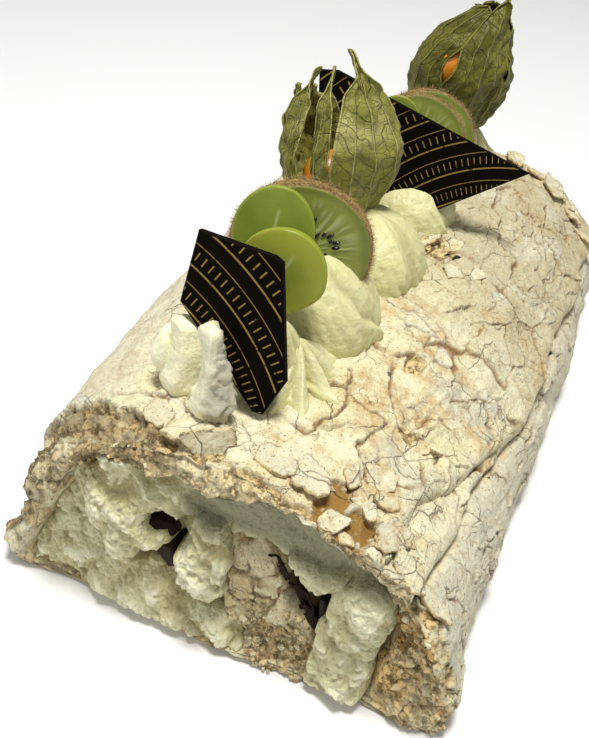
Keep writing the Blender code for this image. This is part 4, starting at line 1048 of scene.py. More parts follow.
# Smeared dollop: round lumps (centre, half sizes, roll, taper) and the folded sheets in front of them,
# from the top down (height, X of the left edge, of the fold and of the right edge, Y of the edges and
# of the fold)
DOLLOP_LUMPS = (
    ((-28.5, -90.0, 77.0), (5.0, 6.0, 12.5), 5, 0.28),
    ((-34.0, -90.0, 79.0), (4.2, 5.5, 7.5), 8, 0.2),
    ((-20.0, -88.5, 69.5), (12.0, 9.0, 6.0), 0, 0.0),
)
DOLLOP_SHEETS = (
    ((91.8, -31.6, -29.0, -25.5, -92.0, -93.5), (89.5, -31.8, -27.0, -21.0, -92.0, -95.0),
     (82.5, -32.2, -26.0, -18.6, -92.5, -97.0), (76.5, -33.8, -26.5, -18.6, -93.5, -98.8),
     (71.0, -35.2, -27.5, -19.4, -94.5, -99.8), (66.0, -33.0, -28.0, -23.0, -94.5, -97.5)),
    ((97.6, -19.4, -15.4, -13.2, -99.0, -100.5), (95.5, -19.9, -14.2, -12.0, -99.0, -102.0),
     (90.5, -18.4, -14.0, -11.8, -99.5, -103.5), (84.5, -17.9, -14.2, -9.2, -100.5, -105.0),
     (79.0, -18.6, -14.8, -7.2, -101.5, -106.5), (75.0, -19.8, -15.2, -7.0, -103.0, -107.5),
     (71.8, -21.4, -15.4, -8.0, -104.0, -107.5), (67.0, -18.0, -14.0, -10.0, -102.0, -104.0)),
)


def soften(points, seed, bump=0.55):
    """Small unevenness of piped cream."""
    return noises(points, (bump, 9, seed), (0.30, 3.5, seed + 1), (0.12, 1.4, seed + 2))


def star_tier(heap, values):
    """Ridges that fan out to points on the crust and wind up to a tip."""
    x, y, high, valley, twist, seed, tips = values
    around, levels = round(200 * FINE), round(46 * FINE)
    angle = bearings(around)
    rings, shade, bright = [], [], []
    for share in np.arange(levels + 1) / levels:
        profile = (1 - share ** 1.8) ** 0.75 + 0.02
        circle = xyz(np.cos(angle), np.sin(angle), share * 0.8)
        wavy = 0.10 * noise(circle, 0.5, seed)
        peak = np.zeros(around)
        for bearing, reach in tips:
            away = (np.degrees(angle + wavy) - bearing + 180) % 360 - 180
            peak = np.maximum(peak, np.maximum(1 - np.abs(away) / 27, 0) * (reach - valley))
        ruffle = bell(share - 0.38 - 0.10 * noise(circle, 0.5, seed + 2), 0.06)
        ragged = 1.8 * ruffle * smooth(-0.3, 0.3, noise(circle, 0.22, seed + 3))
        # Painted shade in the valleys between the ridges and a painted highlight along the ridges
        shade.append(smooth(3.5, 0.3, peak) * smooth(1.0, 0.7, share) * 0.85)
        bright.append(0.25 * smooth(4.0, 9.0, peak) * smooth(0.05, 0.3, share))
        slope = min(1.15, (1 - share) / (1 - 7 / (high + 7))) ** 0.95
        reach = profile * valley + peak * slope + ragged * profile
        reach += 0.25 * profile * np.abs(np.sin(12 * angle + 5 * share))
        bearing = angle + twist * share ** 1.3 + 0.06 * peak / 8
        rings.append(xyz(x + reach * np.cos(bearing), y + reach * np.sin(bearing),
                         mix(HEIGHT - 7, HEIGHT + high, share)))
    points, faces = lathe(rings, around)
    out = unit(points - (x, y, HEIGHT + 2))
    points = points + out * soften(points, seed + 50, 0.35)[:, None]
    heap.add(points, faces, hollow=capped(shade), crest=capped(bright))


def build_star(name, tiers):
    """Piped star, one squeeze of cream for each tier."""
    heap = Heap()
    for values in tiers:
        star_tier(heap, values)
    return heap.piece(name.replace("cream_swirl", "piped_star"), "piped")


def build_rosette(name, values):
    """Piped rosette: a fluted ribbon wound round, each turn folded over the one below."""
    x, y, radius, high, first, pitch, seed = values
    around, levels = round(220 * FINE), round(62 * FINE)
    angle = bearings(around)
    rings, shade = [], []
    for share in np.arange(levels + 1) / levels:
        profile = (1 - share ** 2.6) ** 0.6 * (0.93 + 0.07 * smooth(0.0, 0.25, share)) + 0.02
        circle = xyz(np.cos(angle), np.sin(angle), share)
        turn = 2 * ((angle - first) / TURN + pitch * share) + 0.10 * noise(circle, 0.6, seed)
        turn -= np.floor(turn)
        fold = np.where(turn < 0.05, 1 - turn / 0.05, (turn - 0.05) / 0.95)
        flutes = 34 * (angle + 0.9 * share) / TURN + 0.8 * noise(circle, 0.4, seed + 1)
        flute = np.abs(np.sin(math.pi * flutes))
        waves = 0.05 * noise(circle * (1, 1, 0.5), 0.55, seed + 2)
        reach = radius * profile * (0.87 + 0.13 * fold + waves + 0.020 * flute * (1 - 0.5 * share))
        # Painted shade in the flute valleys and in the crease where each turn folds
        shade.append(np.maximum(0.22 * smooth(0.4, 0.1, flute), 0.55 * smooth(0.10, 0.02, fold)))
        bearing = angle + 0.4 * share
        lift = 0.9 * (fold - 0.5) * smooth(0, 0.2, share) * smooth(1.0, 0.8, share)
        rings.append(xyz(x + reach * np.cos(bearing), y + reach * np.sin(bearing),
                         mix(HEIGHT - 7, HEIGHT + high, share) + lift))
    points, faces = lathe(rings, around)
    out = unit(points - (x, y, HEIGHT - 4))
    points = points + out * soften(points, seed + 50, 0.4)[:, None]
    return make_piece(name.replace("cream_swirl", "piped_rosette"), points, faces, "piped",
                      {"hollow": capped(shade)})


def build_dollop(name):
    """Smeared cream in front of the front shard: round lumps behind two folded sheets."""
    heap = Heap()
    ball, ball_faces = unit_ball(round(48 * FINE), round(32 * FINE))
    for index, (centre, halves, roll, taper) in enumerate(DOLLOP_LUMPS):
        points = ball * halves * (1 - taper * ball[:, 2:] * (1, 1, 0))
        grow = 0.7 * noise(points, 9, 500 + index) + soften(points, 510 + index, 0.4)
        points = (points + ball * grow[:, None]) @ turned(0, 0, roll).T + centre
        heap.add(points, ball_faces, grey=0.0, stain=0.0)
    around, levels = round(84 * FINE), round(60 * FINE)
    turn = np.arange(around) / around
    for index, rows in enumerate(DOLLOP_SHEETS):
        # The right sheet has sharper edges, and its right side is rough and has a grey painted shade
        torn = index == 1
        high, *columns = np.array(rows).T
        rings, grey = [], []
        for step, z in enumerate(np.linspace(high[0], high[-1], levels)):
            left, fold, right, edge, front = (np.interp(-z, -high, column) for column in columns)
            # Left edge, fold, right edge and back, at even steps round the section
            corners = (left, fold, right, mix(left, right, 0.5), left), (edge, front, edge, edge + 5.0, edge)
            x, y = (np.interp(turn * 4, range(5), corner) for corner in corners)
            for _ in range(3 if torn else 6):
                x, y = (0.25 * np.roll(side, 1) + 0.5 * side + 0.25 * np.roll(side, -1) for side in (x, y))
            shrink = 1 - (1 - smooth(0, 3, step)) * 0.55
            x, y = mix(x.mean(), x, shrink), mix(y.mean(), y, shrink)
            rings.append(xyz(x, y, z))
            grey.append(smooth(0.2, 2.4, x - fold) * smooth(3.5, 1.0, y - edge) * torn)
        points, faces = lathe(rings[::-1], around)
        grey = capped(grey[::-1])
        out = unit((points - points.mean(0)) * (1, 1, 0.2))
        grow = 0.35 * noise(points, 7, 520 + index) + soften(points, 530 + index, 0.3)
        if torn:
            grow += (1.3 * billow(points, 3.4, 540) + 0.5 * billow(points, 1.5, 541)) * grey
        # On the torn sheet the stain tints only its painted shade, and the whole torn sheet has a light grey
        # painted shade
        stain = 0.14 * smooth(0.0, 0.5, noise(points, 6, 550 + index)) * (grey if torn else 1.0)
        heap.add(points + out * grow[:, None], faces, grey=0.30 * torn + 0.65 * grey, stain=stain)
    return heap.piece(name.replace("cream_swirl", "piped_dollop"), "dollop")


# Kiwi slices: centre, radius, thickness, yaw and lean in degrees
KIWIS = {
    "kiwi_slice_front": ((-11.5, -45.0, 94.5), 21.6, 6.0, 18, 12),
    "kiwi_slice_back": ((-5.0, 63.0, 89.0), 19.5, 4.0, 18, 17),
    "kiwi_slice_rear": ((-2.5, 68.5, 89.5), 19.5, 4.0, 20, 17),
}
# Seeds and hairs of a slice, height of its oval for a width of 1
KIWI_SEEDS, KIWI_HAIRS, KIWI_OVAL = 42, {True: 2200, False: 900}, 0.94


def build_kiwi(name, values, seed):
    """Slice with radial streaks and a pale core, and the seeds and hairs that belong to it."""
    centre, radius, thick, yaw, lean = values
    is_front = "front" in name
    around = round((220 if is_front else 120) * FINE)
    angle = bearings(around)
    rows = [(share, 1.0) for share in np.linspace(0.03, 0.985, round((46 if is_front else 24) * FINE))]
    rows += [(1.0 + 0.05 * t + 0.012 * math.sin(math.pi * t), 1 - 2 * t) for t in np.linspace(0.06, 0.94, 8)]
    rows += [(share, -1.0) for share in np.linspace(0.985, 0.03, 12)]
    rings, fields = [], []
    for share, side in rows:
        flat = xyz(np.cos(angle) * 7, np.sin(angle) * 7, share * 1.3)
        streak = smooth(-0.05, 0.35, noise(flat, 0.55, seed))
        streak = streak * smooth(0.20, 0.34, share) * smooth(0.92, 0.66, share)
        soft = 0.05 * noise(flat, 2.0, seed + 1)
        wave = 1 + 0.012 * noise(flat, 3.0, seed + 2)
        depth = side * thick / 2 + (0.22 * streak + 0.5 * smooth(0.25, 0.1, share)) * (side == 1.0)
        depth += 0.25 * noise(flat, 5.0, seed + 3)
        rings.append(xyz(np.cos(angle) * radius * share * wave,
                         KIWI_OVAL * np.sin(angle) * radius * share * wave, depth))
        fields.append({"streak": streak, "core": smooth(0.23, 0.15, share + soft),
                       "edge": smooth(0.84, 0.96, share + soft),
                       "skin": np.full(around, float(share > 0.99 or abs(side) < 1))})
    points, faces = lathe(rings, around)
    place = turned(yaw) @ turned(lean=90 - lean)
    piece = make_piece(name.replace("slice", "round"), points @ place.T + centre, faces, "kiwi",
                       {key: capped([row[key] for row in fields]) for key in fields[0]})
    draw = np.random.default_rng(seed)
    seeds, fuzz = Heap(), Heap()
    ball, ball_faces = unit_ball(8, 6)
    for index in range(KIWI_SEEDS):
        bearing = TURN * (index + draw.uniform(-0.35, 0.35)) / KIWI_SEEDS
        share = draw.uniform(0.33, 0.54)
        grain = ball * (np.array([1.35, 0.62, 0.5]) * draw.uniform(0.8, 1.15))
        grain[:, 1] *= 1 - 0.35 * ball[:, 0]
        spot = (math.cos(bearing) * radius * share, KIWI_OVAL * math.sin(bearing) * radius * share,
                thick / 2 + 0.12)
        spin = turned(math.degrees(bearing))
        seeds.add((grain @ spin.T + spot) @ place.T + centre, ball_faces)
    for _ in range(KIWI_HAIRS[is_front]):
        bearing, side = draw.uniform(0, TURN), draw.uniform(-0.95, 0.95)
        reach = radius * (1.025 - 0.025 * side)
        root = np.array([math.cos(bearing) * reach, KIWI_OVAL * math.sin(bearing) * reach, side * thick / 2])
        way = np.array([math.cos(bearing), math.sin(bearing), 0]) + draw.normal(0, 0.45, 3)
        tip = root + way / np.linalg.norm(way) * draw.uniform(0.8, 2.4)
        wide = np.array([-math.sin(bearing), math.cos(bearing), 0]) * 0.08
        spike = np.stack([root + wide, root - wide, root + (0, 0, 0.08), tip]) @ place.T + centre
        fuzz.add(spike, [(0, 1, 2), (0, 3, 1), (1, 3, 2), (2, 3, 0)])
    return piece, seeds.piece(name + "_seeds", "seed"), fuzz.piece(name + "_fuzz", "fuzz")


# Grape halves: centre, half sizes across, deep and high, yaw, lean and roll in degrees, and how much
# narrower the lower end is
GRAPES = {
    "grape_half_upper": ((-15.8, -58.3, 104.8), (12.2, 10.0, 15.0), 15, 12, 10, 0.05),
    "grape_half_lower": ((-7.5, -72.0, 101.0), (13.2, 10.5, 14.2), 10, 10, 28, 0.30),
    "grape_half_back": ((-11.8, 50.0, 98.5), (10.0, 8.5, 13.0), 10, 10, 20, 0.0),
}


def build_grape(name, values):
    """Half of a long grape: slightly crowned cut, thin skin edge and round back."""
    centre, halves, yaw, lean, roll, narrow = values
    around = round(96 * FINE)
    angle = bearings(around)
    rows = [(share, -0.10 - 0.05 * (1 - share ** 2)) for share in np.linspace(0.03, 0.965, 20)]
    rows += [(0.965 + 0.035 * math.sin(t), -0.10 + 0.07 * (1 - math.cos(t)))
             for t in np.linspace(0.3, 1.5, 6)]
    rows += [(math.cos(t), math.sin(t)) for t in np.linspace(0.02, 1.5, 18)]
    # Painted highlight: the edge of the cut is lighter on the side towards the light
    lit = smooth(-0.1, 0.7, (np.cos(angle) - np.sin(angle)) / 1.41)
    rings, fields = [], []
    for share, deep in rows:
        x, z = np.cos(angle) * share, np.sin(angle) * share
        rings.append(xyz(x, deep, z))
        on_cut = deep < -0.02
        # A pale short streak down the middle of the cut
        vein = bell(x, 0.035) * smooth(0.05, 0.15, z) * smooth(0.62, 0.45, z)
        # The rim field is lighter and yellower all over on the lower grape, partly its own yellower flesh and
        # partly painted light, and the edge carries a painted highlight
        fields.append({
            "rim": (0.85 if "lower" in name else 0.05) * (1 - 0.5 * smooth(0.7, 0.2, share))
            + 0.45 * lit * smooth(0.70, 0.93, share) * on_cut,
            "skin": np.full(around, 0.7 * smooth(0.93, 0.99, share) if on_cut else 0.7),
            "vein": vein * (0.8 if on_cut else 0.0)})
    points, faces = lathe(rings, around)
    uneven = 1 + 0.03 * noise(points, 0.9, 7)
    points[:, 0] *= 1 - narrow * smooth(0.3, -1.0, points[:, 2])
    points = (points * uneven[:, None] * halves) @ turned(yaw, -lean, roll).T + centre
    return make_piece(name.replace("half", "cut"), points, faces, "grape",
                      {key: capped([row[key] for row in fields]) for key in fields[0]})


# Physalis: base and tip of the husk, its radius, the height of its waist and how full it is below
# it. Above the split the petals are free, and they narrow between the two shares of the spire.
# The slit has its azimuth, lower and upper end and half width, and the husk bends to the right and
# twists. A petal has the azimuth where it starts, its share of the height and how far its end leans
# out. The berry has its radius, its height in the husk and its way from the middle to the slit.
PHYSALIS = {
    "front": {
        "base": (-14.0, 5.0, 79.0), "tip": (-20.5, 6.0, 140.5), "radius": 19.0, "waist": 0.42,
        "split": 0.34, "slit": (-114, 0.04, 0.85, 9), "bend": 0.0, "twist": 6.0, "full": 0.75,
        "spire": (0.68, 0.84), "berry": (9.0, 0.32, 7.0),
        "petals": ((-192, 0.80, 0.22), (-152, 0.92, 0.13), (-114, 0.93, 0.04), (-84, 1.00, 0.02),
                   (12, 0.74, -0.10), (110, 0.72, 0.30))},
    "back": {
        "base": (-1.0, 103.5, 79.5), "tip": (1.5, 107.0, 137.0), "radius": 19.7, "waist": 0.44,
        "split": 0.90, "slit": (-97, 0.42, 0.68, 8), "bend": 10.5, "twist": 14.0, "full": 0.5,
        "spire": (0.78, 0.98), "berry": (10.5, 0.54, 7.0),
        "petals": ((-166, 0.95, 0.02), (-97, 1.00, 0.02), (-15, 1.00, 0.02), (63, 0.95, 0.02),
                   (127, 0.92, 0.02))},
}
HUSK_WALL = 0.45


def husk_frame(values):
    """Base, upright, sideways and depth directions and height of a husk."""
    base, tip = np.array(values["base"]), np.array(values["tip"])
    height = np.linalg.norm(tip - base)
    upright = (tip - base) / height
    sideways = np.cross((0, 1, 0), upright)
    sideways /= np.linalg.norm(sideways)
    return base, upright, sideways, np.cross(upright, sideways), height


def husk_radius(share, waist, full):
    """Radius of a husk at a share of its height, 1 at the waist."""
    low = 0.10 + 0.90 * np.sin(0.5 * math.pi * np.clip(share / waist, 0, 1)) ** full
    high = 0.06 + 0.94 * np.cos(0.5 * math.pi * np.clip((share - waist) / (1 - waist), 0, 1)) ** 0.9
    return np.where(share < waist, low, high)


def build_husk(end, values):
    """Papery lantern of ribbed petals with raised veins and puckers, both faces modelled."""
    base, upright, sideways, depth_way, height = husk_frame(values)
    rows, columns = round(78 * FINE), round(28 * FINE)
    level, side = np.meshgrid(np.linspace(0, 1, rows), np.linspace(-1, 1, columns), indexing="ij")
    starts = [petal[0] for petal in values["petals"]]
    stops = starts[1:] + [starts[0] + 360]
    seam, slit_low, slit_high, slit_half = values["slit"]
    split, wide = values["split"], values["radius"]
    heap = Heap()

    def rough(points, *parts):
        return noises(points, *parts).reshape(level.shape)

    for index, ((start, tall, opening), stop) in enumerate(zip(values["petals"], stops)):
        middle, half = (start + stop) / 2, (stop - start) / 2
        share = 0.02 + 0.98 * level * mix(1.0, tall, smooth(split, 1.0, level))
        free = np.maximum(level - split, 0.0) / (1 - split)
        spread = 1 - 0.05 * np.minimum(free * 4, 1.0) - 0.55 * free ** 3
        spread = np.maximum(spread - 0.46 * smooth(*values["spire"], free), 0.05)
        gape = np.zeros_like(level)
        for edge_side, edge in ((-1, start), (1, stop)):
            if abs((edge - seam + 180) % 360 - 180) < 0.5:
                window = np.clip((level - slit_low) / (slit_high - slit_low), 0, 1)
                gape -= edge_side * slit_half * np.sin(math.pi * window) * smooth(0.0, 1.0, edge_side * side)
        azimuth = np.radians(middle + half * spread * side + gape + values["twist"] * (2 * share - 1))
        radius = wide * husk_radius(share, values["waist"], values["full"])
        radius += opening * wide * smooth(split, 1.0, share)
        radius *= 1 + 0.07 * np.cos(5 * azimuth) * np.sin(math.pi * share)
        ring = xyz(np.cos(azimuth), share * 2, np.sin(azimuth)).reshape(-1, 3)
        radius *= 1 + rough(ring, (0.09, 0.5, 301))
        across = side * half * math.pi / 180 * radius
        local = xyz(across + 60 * index, share * height, 0.0).reshape(-1, 3)
        branches = level * 8.0 - np.abs(across) * 0.11 + 0.7 * rough(local, (1, 7, 302)) + 0.3 * (side > 0)
        line = np.abs(branches - np.round(branches))
        branch = 0.75 * smooth(0.085, 0.015, line) * smooth(1.0, 0.85, np.abs(side))
        branch *= smooth(0.04, 0.1, level)
        puckers = rough(local, (1.4, 8.5, 303), (1.0, 3.6, 304), (0.3, 1.6, 307))
        rib = np.exp(-np.abs(across) / 2.2)
        side_rib = np.exp(-np.abs(np.abs(side) - 0.52) / 0.12)
        relief = (puckers * smooth(0, 0.1, level) + 1.9 * rib * (1 - 0.5 * free)
                  + 1.3 * side_rib * smooth(0.05, 0.2, level) * smooth(0.95, 0.7, level)
                  + 0.16 * branch + 0.5 * smooth(0.85, 1.0, np.abs(side)) * smooth(0.05, 0.2, level))
        curl = free ** 2 * 2.0 * rough(local, (1, 12, 305)) + 1.2 * free * np.abs(side) ** 3
        radius = radius + relief + curl
        way = sideways * np.cos(azimuth)[..., None] + depth_way * np.sin(azimuth)[..., None]
        leaned = values["bend"] * np.maximum(share * 2 - 1, 0) ** 1.8
        points = (base + upright * (height * share)[..., None] + way * radius[..., None]
                  + np.array([1.0, 0.0, 0.0]) * leaned[..., None])
        out = grid_normals(points)
        out *= np.sign((out * way).sum(-1, keepdims=True).mean())
        # The back husk gets weaker light blotches, as part of its painted shade
        light = smooth(0.1, 0.5, rough(local, (1, 15, 306))) * (0.45 if end == "back" else 0.8)
        looks = {"light": light, "side": side, "across": across, "branch": branches}
        heap.add(*two_faced(points, points - out * HUSK_WALL),
                 **{key: np.tile(value.ravel(), 2) for key, value in looks.items()})
    return heap.piece("husk_" + end, "husk_" + end)


def build_berry(end, values):
    """Round berry on the stalk inside its husk."""
    base, upright, sideways, depth_way, height = husk_frame(values)
    radius, level, out = values["berry"]
    ball, faces = unit_ball(40, 24)
    heap = Heap()
    seam = math.radians(values["slit"][0])
    toward = sideways * math.cos(seam) + depth_way * math.sin(seam)
    points = ball * radius * (1 + 0.012 * noise(ball, 0.6, 311))[:, None]
    heap.add(points + base + upright * height * level + toward * out, faces)
    stalk = ball * (0.9, 0.9, height * 0.18)
    axis = np.array(Vector(upright.tolist()).to_track_quat("Z", "Y").to_matrix())
    heap.add(stalk @ axis.T + base + upright * height * 0.20, faces)
    return heap.piece("fruit_" + end, "berry")


# Crumbs, flakes and chocolate

# Caramel-coloured bits in the cut: X, Z, spread, number
GLAZED = ((52.5, 38, 1.2, 7), (54, 30, 1.5, 9), (30, 9, 1.6, 10))
# Tries for crumbs on the broken rim and on the inner turn
RIM_CRUMBS, CORE_CRUMBS = 520, 260
# Plates that lie loose on the crust: X, Y, half size, stretch, curl
FLAKES = ((45, -112, 6.0, 0.8, 0.6), (40, -104, 4.0, 1.1, 0.7), (36, -98, 5.0, 1.0, 0.6),
          (20, -112, 7.0, 1.2, 0.5), (10, -113, 6.5, 0.9, 0.5), (30, -104, 3.0, 1.2, 0.9),
          (52, -118, 5.0, 0.8, 0.6), (48, -121, 3.0, 1.0, 0.8), (-8, -117, 6.0, 1.2, 0.6),
          (-17, -112, 6.5, 0.9, 0.5), (-27, -110, 4.5, 1.0, 0.5), (60, -116, 5.0, 0.7, 0.5),
          (42, -76, 3.5, 0.8, 0.7), (46, -74, 2.5, 1.2, 0.8), (28, 10, 4.0, 1.0, 0.7),
          (14, 24, 4.5, 1.2, 0.8), (24, 28, 3.5, 1.0, 0.8), (36, 18, 3.0, 1.1, 0.7),
          (8, 16, 3.0, 1.0, 0.8), (60, 118, 6.0, 0.8, 0.8), (50, 119, 7.0, 1.1, 1.2),
          (42, 121, 5.0, 1.2, 1.0), (57, 120, 4.5, 0.9, 1.0), (30, 121, 6.0, 1.2, 0.7),
          (70, 110, 5.0, 0.7, 0.7), (30, -120, 4.0, 1.3, 0.6), (37, -110, 2.6, 1.2, 0.6),
          (34, -121, 2.4, 0.9, 0.6))
# Shavings in the gap of the filling: X, Z, length, width, turn in the face and lean, in degrees
SHAVINGS = ((22.5, 33.0, 4.5, 1.8, 70, 20), (24.0, 30.0, 5.0, 1.5, 62, -25), (25.5, 27.0, 5.5, 1.7, 75, 30),
            (27.0, 23.5, 5.0, 1.6, 58, -20), (28.0, 20.5, 4.0, 1.8, 80, 15), (24.5, 25.0, 4.0, 1.3, 85, 40),
            (29.0, 16.5, 3.2, 1.5, 65, -30), (21.0, 29.0, 3.0, 1.4, 50, 30), (15.0, 40.5, 2.6, 0.9, 30, 10),
            (18.0, 38.0, 2.8, 1.0, 60, -20))
# Chocolate in the hollows of the cream: centre and half sizes
CHUNKS = (((-17.6, -114.5, 26.5), (5.8, 7.0, 5.0)), ((-21.0, -117.8, 38.0), (5.2, 3.6, 2.8)))
CRUMB_BALL = unit_ball(7, 5)


def add_crumb(heap, spot, size, draw, light, glaze=0.0):
    """Angular crumb, sunk a little where it lies."""
    ball, faces = CRUMB_BALL
    start = ball + draw.uniform(0, 90, 3)
    lump = ball * noises(start, (0.45, 0.75, 401), (0.25, 0.35, 400), onto=1)[:, None]
    lump = np.clip(lump, -0.72, 0.72) * draw.uniform(0.7, 1.35, 3) @ turned(*draw.uniform(0, 360, 3)).T
    heap.add(lump * size + spot, faces, crack=0, toast=draw.uniform(0, 1.0), pale=0.25 * light,
             crumb=draw.uniform(0.1, 0.8) * (1 - light), syrup=glaze)


def add_flake(heap, spot, facing, size, shape, thick, curl, draw):
    """Broken plate of skin with a ragged, angular outline, lying on a surface."""
    around, rings = 48, 9
    angle = bearings(around)
    axis = np.array(Vector(facing).normalized().to_track_quat("Z", "Y").to_matrix())
    axis = axis @ turned(draw.uniform(0, 360))
    start = draw.uniform(0, 90, 3)
    corners = int(draw.integers(4, 8))
    sides = TURN * (np.arange(corners) + draw.uniform(-0.3, 0.3, corners)) / corners
    reach = draw.uniform(0.75, 1.05, corners)
    outline = np.min([far / np.maximum(np.cos(angle - side), 0.25) for far, side in zip(reach, sides)],
                     axis=0)
    circle = xyz(np.cos(angle), np.sin(angle), 0.0) + start
    outline = np.minimum(outline, 1.35) * noises(circle, (0.12, 0.35, 402), (0.07, 0.12, 403), onto=1)
    bend, twist = draw.uniform(-0.22, 0.22, 2) * curl
    sheets = []
    for face, order in ((1, range(1, rings + 1)), (-1, range(rings, 0, -1))):
        for ring in order:
            share = ring / rings
            x = np.cos(angle) * outline * share * size * shape
            y = np.sin(angle) * outline * share * size / shape
            z = curl * (x * x + y * y) / size / 12 + bend * x + twist * y * 0.6
            around_spot = xyz(x, y, 0.0) + start
            z += 0.07 * size * noise(around_spot, size * 0.7, 404) + 0.25 * noise(around_spot, 1.6, 405)
            z += face * thick / 2 * (0.75 if ring == rings else 1.0)
            sheets.append(xyz(x, y, z))
    points, faces = lathe(sheets, around)
    top = np.concatenate([[True], np.repeat([True, False], rings * around), [False]])
    # Only the outermost ring of the top is crumb, and all of the bottom
    rim = np.concatenate([np.zeros((rings - 1) * around + 1), np.ones((rings + 1) * around + 1)])
    heap.add(points @ axis.T + spot, [face[::-1] for face in faces], crack=0,
             toast=np.where(top, draw.uniform(0, 0.8), 0.7), pale=np.where(top, draw.uniform(0, 0.6), 0.0),
             crumb=0.75 * rim, syrup=0)


def build_crumbs(front_rim):
    """Crumbs on the broken rim, on the inner turn and at the right corner of the cut."""
    draw = np.random.default_rng(77)
    heap = Heap()
    rows, columns, _ = front_rim.shape
    for _ in range(RIM_CRUMBS):
        row, column = draw.integers(1, int(rows * 0.8)), draw.integers(0, columns - 16)
        place = front_rim[row, column]
        if draw.random() < 0.85 * max(smooth(34, 48, place[2]), smooth(-45, -55, place[0])):
            continue
        size = draw.choice((0.4, 0.65, 0.95, 1.5), p=(0.38, 0.35, 0.21, 0.06)) * draw.uniform(0.8, 1.2)
        add_crumb(heap, place + (0, -0.1 * size, 0), size, draw, draw.random() < 0.12)
    x, z = draw.uniform(2, 32, CORE_CRUMBS), draw.uniform(0.5, 30, CORE_CRUMBS)
    for spot in xyz(x, core_front(x, z)[0], z):
        if inside(spot[:1], spot[2:], CORE)[0] > -2 and draw.random() < 1.2 - spot[2] / 30:
            size = draw.uniform(0.4, 1.3)
            add_crumb(heap, spot + (0, -0.1 * size, 0), size, draw, draw.random() < 0.08)
    for at_x, at_z, spread, number in GLAZED:
        for _ in range(number):
            x, z = at_x + draw.normal(0, spread), at_z + draw.normal(0, spread)
            near = np.argmin((front_rim[..., 0] - x) ** 2 + (front_rim[..., 2] - z) ** 2)
            spot = (front_rim.reshape(-1, 3)[near] if at_x > 40
                    else np.array([x, core_front(np.array([x]), np.array([z]))[0][0], z]))
            add_crumb(heap, spot + (0, -0.3, 0), draw.uniform(0.7, 1.6), draw, 0, 0.9)
    made = heap.piece("crumbs", "meringue")
    made.data.shade_flat()
    return made


def build_shavings():
    """Thin curls of chocolate in the gap beside the inner turn."""
    draw = np.random.default_rng(5)
    heap = Heap()
    u, v = np.meshgrid(np.linspace(-1, 1, 14), np.linspace(-1, 1, 6), indexing="ij")
    for x, z, long, wide, turn, lean in SHAVINGS:
        curl = 0.8 * (1 - u * u) + 0.25 * np.sin(5 * u + draw.uniform(0, 6))
        sheet = xyz(long * u, curl, wide * v * (1 - 0.35 * u * u))
        half = 0.22 * grid_normals(sheet)
        points, faces = two_faced(sheet + half, sheet - half)
        place = np.array(Matrix.Rotation(math.radians(turn), 3, "Y")
                         @ Matrix.Rotation(math.radians(lean), 3, "X"))
        heap.add(points @ place.T + (x, -119.5 + draw.uniform(-1.0, 2.0), z), faces)
    return heap.piece("chocolate_shavings", "chocolate")


def build_chunks():
    """Angular lumps of chocolate."""
    ball, faces = unit_ball(36, 26)
    heap = Heap()
    for index, (centre, halves) in enumerate(CHUNKS):
        lump = ball * (1 + 0.28 * noise(ball + 9 * index, 0.8, 421) + 0.10 * noise(ball, 0.3, 422))[:, None]
        place = turned(20 + 50 * index, 15, 25)
        lump = np.clip(lump @ place.T, -0.78, 0.78) @ place
        heap.add(lump * 1.12 * halves + centre, faces)
    return heap.piece("chocolate_chunks", "chocolate")


def build_flakes(skin):
    """Loose-edged plates of skin near the cut, on the flank and at the far end."""
    draw = np.random.default_rng(31)
    heap = Heap()
    rows, columns, _ = skin.shape
    normals = grid_normals(skin)
    for x, y, size, shape, curl in FLAKES:
        row = int(np.clip(np.argmin(np.abs(skin[:, columns // 2, 1] - y)), 2, rows - 3))
        line = skin[row]
        column = int(np.argmin(np.where(line[:, 2] > 15, np.abs(line[:, 0] - x), 1e9)))
        facing = normals[row, column] * np.sign(normals[row, column, 2] + 1e-9)
        lean = draw.normal(0, 0.10, 3)
        add_flake(heap, line[column] + facing * 0.1, facing + lean, size, shape, draw.uniform(0.9, 1.5),
                  curl, draw)
    return heap.piece("crust_flakes", "meringue")


# The whole, rest of the scene and its camera

crust, front_rim, skin = build_crust()
for piece in crust:
    body(piece, "meringue_roll", slot="meringue")
cream, core = build_filling()
body(cream, "cream_filling", slot="cream")
body(core, "meringue_roll", slot="meringue")
for name, values in STARS.items():
    body(build_star(name, values), name, slot="piped_cream")
for name, values in ROSETTES.items():
    body(build_rosette(name, values), name, slot="piped_cream")
body(build_dollop("cream_swirl_front_left"), "cream_swirl_front_left", slot="piped_cream")
for seed, (name, values) in enumerate(KIWIS.items()):
    flesh, seeds, fuzz = build_kiwi(name, values, 60 + seed)
    body(flesh, name, slot="kiwi")
    body(seeds, slot="kiwi")
    body(fuzz, slot="kiwi")
for name, values in GRAPES.items():
    body(build_grape(name, values), name, slot="grape")
for end, values in PHYSALIS.items():
    body(build_husk(end, values), "physalis_husk_" + end, slot="husk")
    body(build_berry(end, values), "physalis_berry_" + end, slot="berry")
body(build_crumbs(front_rim), slot="meringue")
body(build_flakes(skin), slot="meringue")
body(build_shavings(), slot="chocolate")
body(build_chunks(), "chocolate_lump", slot="chocolate")

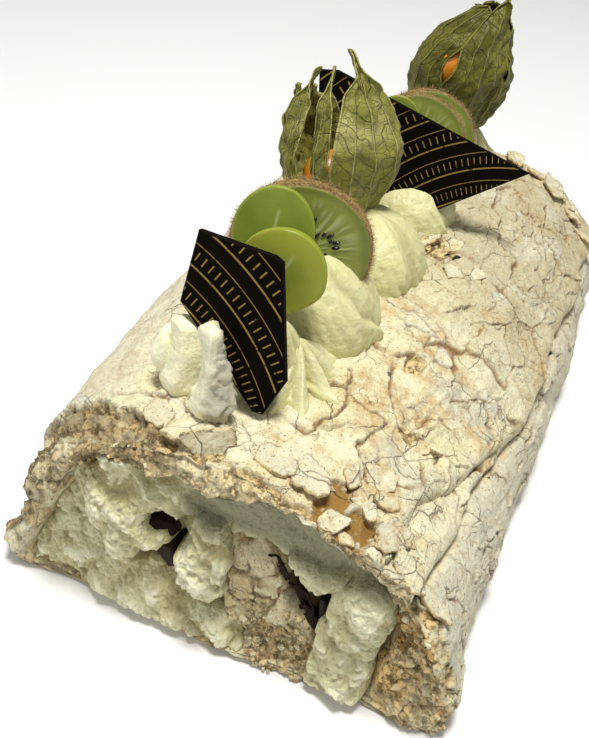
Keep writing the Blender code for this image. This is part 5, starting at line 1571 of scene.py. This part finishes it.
# Gold on the shards: foot of the shard, its yaw and lean, the middle of the arcs, their pitch and
# the angles where they start and end
SHARDS = {
    "chocolate_shard_front": ((-1.0, -99.0, 72.5), 0, 19, (-0.060, -0.030), 0.0105, 0.15, 1.45),
    "chocolate_shard_back": ((7.2, 33.0, 72.5), 12, 15, (0.035, -0.040), 0.0105, 1.0, 2.6),
}
finishes = {"chocolate_flake": MATERIALS["chocolate"]}
for name, (foot, yaw, lean, *arcs) in SHARDS.items():
    place = turned(yaw, -lean)
    finishes[name] = shard_material(name + "_finish", tuple(value * MM for value in foot),
                                    tuple(place @ (1, 0, 0)), tuple(place @ (0, 0, 1)), *arcs)
for name, finish in finishes.items():
    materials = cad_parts[name].data.materials
    materials.clear()
    materials.append(finish)

# The floor lies just below the roll
FLOOR_HALF, FLOOR_LEVEL = 3, -0.0003
floor_mesh = bpy.data.meshes.new("floor")
floor_mesh.from_pydata([(x * FLOOR_HALF, y * FLOOR_HALF, FLOOR_LEVEL)
                        for x, y in ((-1, -1), (1, -1), (1, 1), (-1, 1))], [], [(0, 1, 2, 3)])
floor = add_object("floor", floor_mesh)
white = Shader("floor")
whites = white.blend(white.noise(3, 2), (0.86, 0.86, 0.86), (0.88, 0.88, 0.88))
floor_mesh.materials.append(white.finish(whites, 0.7))

# The camera: its place, and the length of its lens and the height of the picture in pixels
CAMERA_PLACE = (0.0691, -0.2744, 0.2370)
LENS_PIXELS, PICTURE_HEIGHT, SENSOR = 900, 738, 36
upward, backward = Vector((-0.282, 0.552, 0.785)), Vector((0.257, -0.745, 0.616)).normalized()
right = upward.cross(backward).normalized()
camera_data = bpy.data.cameras.new("camera")
camera_data.lens = SENSOR * LENS_PIXELS / PICTURE_HEIGHT
camera = add_object("camera", camera_data)
camera.matrix_world = (Matrix.Translation(CAMERA_PLACE)
                       @ Matrix((right, backward.cross(right).normalized(), backward)).transposed().to_4x4())
bpy.context.scene.camera = camera

LAMP_TARGET = (0, 0, 0.03)


def lamp(name, place, size, power, colour):
    """Square lamp that shines on the middle of the roll."""
    data = bpy.data.lights.new(name, "AREA")
    data.shape = "RECTANGLE"
    data.size = data.size_y = size
    data.energy = power
    data.color = colour
    way = Vector(place) - Vector(LAMP_TARGET)
    add_object(name, data).matrix_world = (Matrix.Translation(place)
                                           @ way.to_track_quat("Z", "Y").to_matrix().to_4x4())


lamp("key", (0.05, -0.10, 1.28), 0.30, 17.5, (1.0, 0.98, 0.95))
lamp("fill", (-0.45, -1.15, 0.70), 0.9, 2.9, (1.0, 1.0, 1.0))
world = bpy.data.worlds.new("studio")
bpy.context.scene.world = world
world.use_nodes = True
background = world.node_tree.nodes["Background"]
background.inputs[0].default_value = (1, 1, 1, 1)
background.inputs[1].default_value = 0.28
bpy.context.scene.view_settings.view_transform = "Standard"
